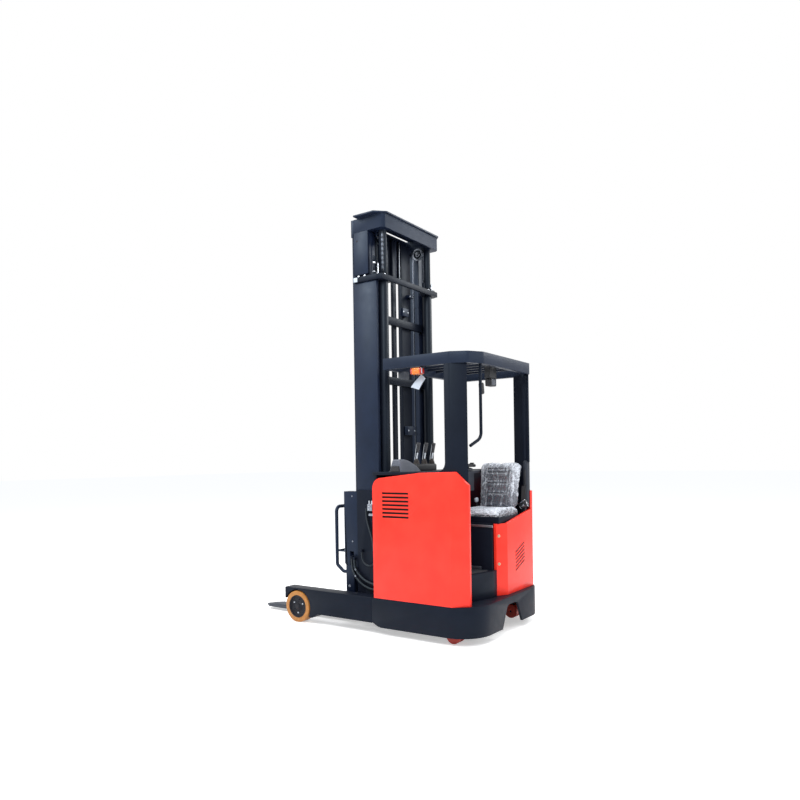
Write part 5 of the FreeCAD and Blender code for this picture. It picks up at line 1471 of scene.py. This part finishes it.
class TRUCK_OT_mast_head(bpy.types.Operator):
    """Sheet the mast's head: side plates, the back plate with its pipes, the short chain"""

    bl_idname = "truck.mast_head"
    bl_label = "Mast head"

    def execute(self, context):
        rail, cap = span("inner_rails"), span("inner_cap")
        top, rear, front, nose = rail[1].z, rail[0].x, 0.028, 0.05
        bm = bmesh.new()
        for side in (1, -1):
            outer = side * 0.433
            y0, y1 = sorted((outer, outer - side * 5 * MM))
            block(bm, (rear, y0, HEAD_FOOT), (front, y1, top), 1.5)
            y0, y1 = sorted((side * (rail[1].y + 1 * MM), outer))
            for x in (rear, front - 6 * MM):
                block(bm, (x, y0, HEAD_FOOT), (x + 6 * MM, y1, top), 1.5)
            y0, y1 = sorted((side * 0.345, outer))
            block(bm, (0.0195, y0, top - 32 * MM), (nose, y1, cap[1].z - 15 * MM), 2)
            # A dark disc on each side plate: painted shade of a hole
            drum(bm, (-0.012, outer - side * MM, 3.258), (-0.012, outer + side * MM, 3.258), 7,
                 paint=1)
        finished(bm, "head_side_plates", ["mast", "shadow"], "inner_mast")
        bm = bmesh.new()
        sill = 3.012
        block(bm, (-0.106, -0.055, sill), (-0.1, rail[1].y - 59 * MM, top + 34 * MM), 1.5)
        for y, radius, paint in ((0.3, 8, 0), (0.055, 6, 0), (0.02, 9, 1), (-0.03, 7, 0),
                                 (-0.045, 3, 2)):
            drum(bm, (-0.118, y, sill), (-0.118, y, top + 20 * MM), radius, None, 16, 0, paint)
        finished(bm, "head_back_plate", ["barrel", "mast", "zinc"], "inner_mast")
        bm = bmesh.new()
        pins = [(-0.2405, z) for z in np.arange(2.985, top - 4 * MM,
                                                context.scene.truck_sizes.link)]
        # Inner plates and pins in the dark tube enamel: painted shade between the outer plates
        chain(bm, pins, 0.379, ((-4.4, -1.7), (1.7, 4.4)), (ODD[0], ODD[2]), 13, (3.4, 8.5, 8),
              (1, 0))
        finished(bm, "head_chain_near", ["chain", "barrel"], "inner_mast",
                 angle=25)
        return {"FINISHED"}


BOW_TOP = 2.95              # height of the outer bow's upper face


class TRUCK_OT_mast_fittings(bpy.types.Operator):
    """Fit the bow's cylinder heads, nuts and valve, the clamps, bolts and hose blocks"""

    bl_idname = "truck.mast_fittings"
    bl_label = "Mast fittings"

    def execute(self, context):
        bow = span("outer_bow")[1]
        bm = bmesh.new()
        head = (-0.180, 0.4165, BOW_TOP)
        stack(bm, head, [(0, 26, 14, 0), (24, 30, 15.5, 1), (30, 96, 12, 0), (94, 108, 14.5, 1),
                         (106, 118, 10, 0), (116, 160, 15, 0)], 32, 1.5)
        stack(bm, off(head, -38, -2), [(0, 92, 4, 1)], 16)
        stud(bm, off(head, -38, -2), (0, 0, 1), 9, 1)
        for x in (-0.028, -0.092):
            for y in (0.4345, -0.4345):
                stud(bm, (x, y, BOW_TOP), (0, 0, 1), 10, 1)
        corner = (bow.x, bow.y, BOW_TOP)
        block(bm, off(corner, -42, -4, -41), off(corner, -1, 1.5, -4), 1.2, 2, 2)
        finished(bm, "bow_fittings_left", ["barrel", "chrome", "card"],
                 "mast_carriage")

        bm = bmesh.new()
        for x, y, tall, radius, paint in ((-0.196, -0.405, 96, 13, 0),
                                          (-0.232, -0.402, 70, 11, 1),
                                          (-0.168, -0.414, 54, 10, 0),
                                          (-0.212, -0.424, 42, 9, 1)):
            foot = (x, y, BOW_TOP)
            stack(bm, foot, [(0, tall, radius, paint)], 28, 1.5)
            stack(bm, foot, [(tall * 0.45, tall * 0.6, radius + 3, 1)], 6, 1)
            stack(bm, foot, [(tall - 3, tall + 9, radius * 0.7, 1)], 20, 1.5)
        block(bm, (-0.245, -0.436, BOW_TOP), (-0.155, -0.395, BOW_TOP + 22 * MM), 3)
        finished(bm, "bow_valve_right", ["console", "zinc"], "mast_carriage")

        face = span("inner_crossbars")[0].x
        bm = bmesh.new()
        for y0, y1, z0, z1 in ((-0.104, -0.012, 2.682, 2.752), (-0.182, -0.118, 2.86, 2.885),
                               (-0.185, -0.065, 1.62, 1.70)):
            block(bm, (face - 4 * MM, y0, z0), (face + 36 * MM, y1, z1), 2)
            for y in (y0 + 12 * MM, y1 - 12 * MM):
                stud(bm, (face - 4 * MM, y, (z0 + z1) / 2), (-1, 0, 0), 5, 1)
        for z in (2.782, 1.632):
            for y in (-0.315, -0.225, 0.225, 0.315):
                stud(bm, (face, y, z), (-1, 0, 0), 5.5, 2, False)
        finished(bm, "inner_mast_clamps", ["mast", "zinc", "barrel"],
                 "inner_mast")

        right, left = span("reach_carriage")
        bm = bmesh.new()
        for x, z, radius in ((0.058, 0.34, 9), (-0.005, 0.485, 6), (-0.005, 0.43, 6),
                             (0.02, 1.10, 5), (0.02, 0.72, 5)):
            stud(bm, (x, left.y, z), (0, 1, 0), radius, 0)
            stud(bm, (x, right.y, z), (0, -1, 0), radius, 0)
        finished(bm, "carriage_bolts", ["pulley"], "mast_carriage")

        bm = bmesh.new()
        block(bm, (-0.168, 0.448, 0.978), (-0.116, 0.484, 1.034), 4, 3)
        block(bm, (-0.196, 0.450, 0.936), (-0.128, 0.482, 0.956), 4, 3)
        for start, end, radius in (((-0.128, 0.466, 1.032), (-0.128, 0.466, 1.062), 8),
                                   ((-0.155, 0.466, 1.032), (-0.155, 0.466, 1.062), 8),
                                   ((-0.142, 0.482, 0.992), (-0.142, 0.492, 0.992), 7),
                                   ((-0.142, 0.482, 1.018), (-0.142, 0.492, 1.018), 7)):
            drum(bm, start, end, radius, None, 6, 1, 1)
        finished(bm, "hose_manifold", ["pulley", "zinc"], "mast_carriage")
        return {"FINISHED"}


# ---------------------------------------------------------------- add-on
class TRUCK_PT_panel(bpy.types.Panel):
    """List of the truck's pieces in the sidebar"""

    bl_label = "Reach Truck"
    bl_idname = "TRUCK_PT_panel"
    bl_space_type = "VIEW_3D"
    bl_region_type = "UI"
    bl_category = "Reach Truck"

    def draw(self, context):
        for kind in OPERATORS:
            self.layout.operator(kind.bl_idname)
        for group in (context.scene.truck_sizes, context.scene.truck_colours):
            for name in group.__annotations__:
                self.layout.prop(group, name)


OPERATORS = (TRUCK_OT_stage, TRUCK_OT_hoses, TRUCK_OT_steelwork, TRUCK_OT_guard,
             TRUCK_OT_load_wheels, TRUCK_OT_covers, TRUCK_OT_hood, TRUCK_OT_levers,
             TRUCK_OT_steering, TRUCK_OT_cab, TRUCK_OT_lamps, TRUCK_OT_seat, TRUCK_OT_belt,
             TRUCK_OT_chains, TRUCK_OT_mast_head, TRUCK_OT_mast_fittings)
CLASSES = (TruckColours, TruckSizes, *OPERATORS, TRUCK_PT_panel)


def register():
    """Register the classes and put the two groups on the scene."""
    for kind in CLASSES:
        bpy.utils.register_class(kind)
    bpy.types.Scene.truck_colours = PointerProperty(type=TruckColours)
    bpy.types.Scene.truck_sizes = PointerProperty(type=TruckSizes)


def unregister():
    """Take the groups and the classes away again."""
    del bpy.types.Scene.truck_colours
    del bpy.types.Scene.truck_sizes
    for kind in reversed(CLASSES):
        bpy.utils.unregister_class(kind)


def main():
    """Make the truck from its operators."""
    register()
    make_materials(bpy.context.scene.truck_colours)
    for kind in OPERATORS:
        group, name = kind.bl_idname.split(".")
        getattr(getattr(bpy.ops, group), name)()


if __name__ == "__main__":
    main()
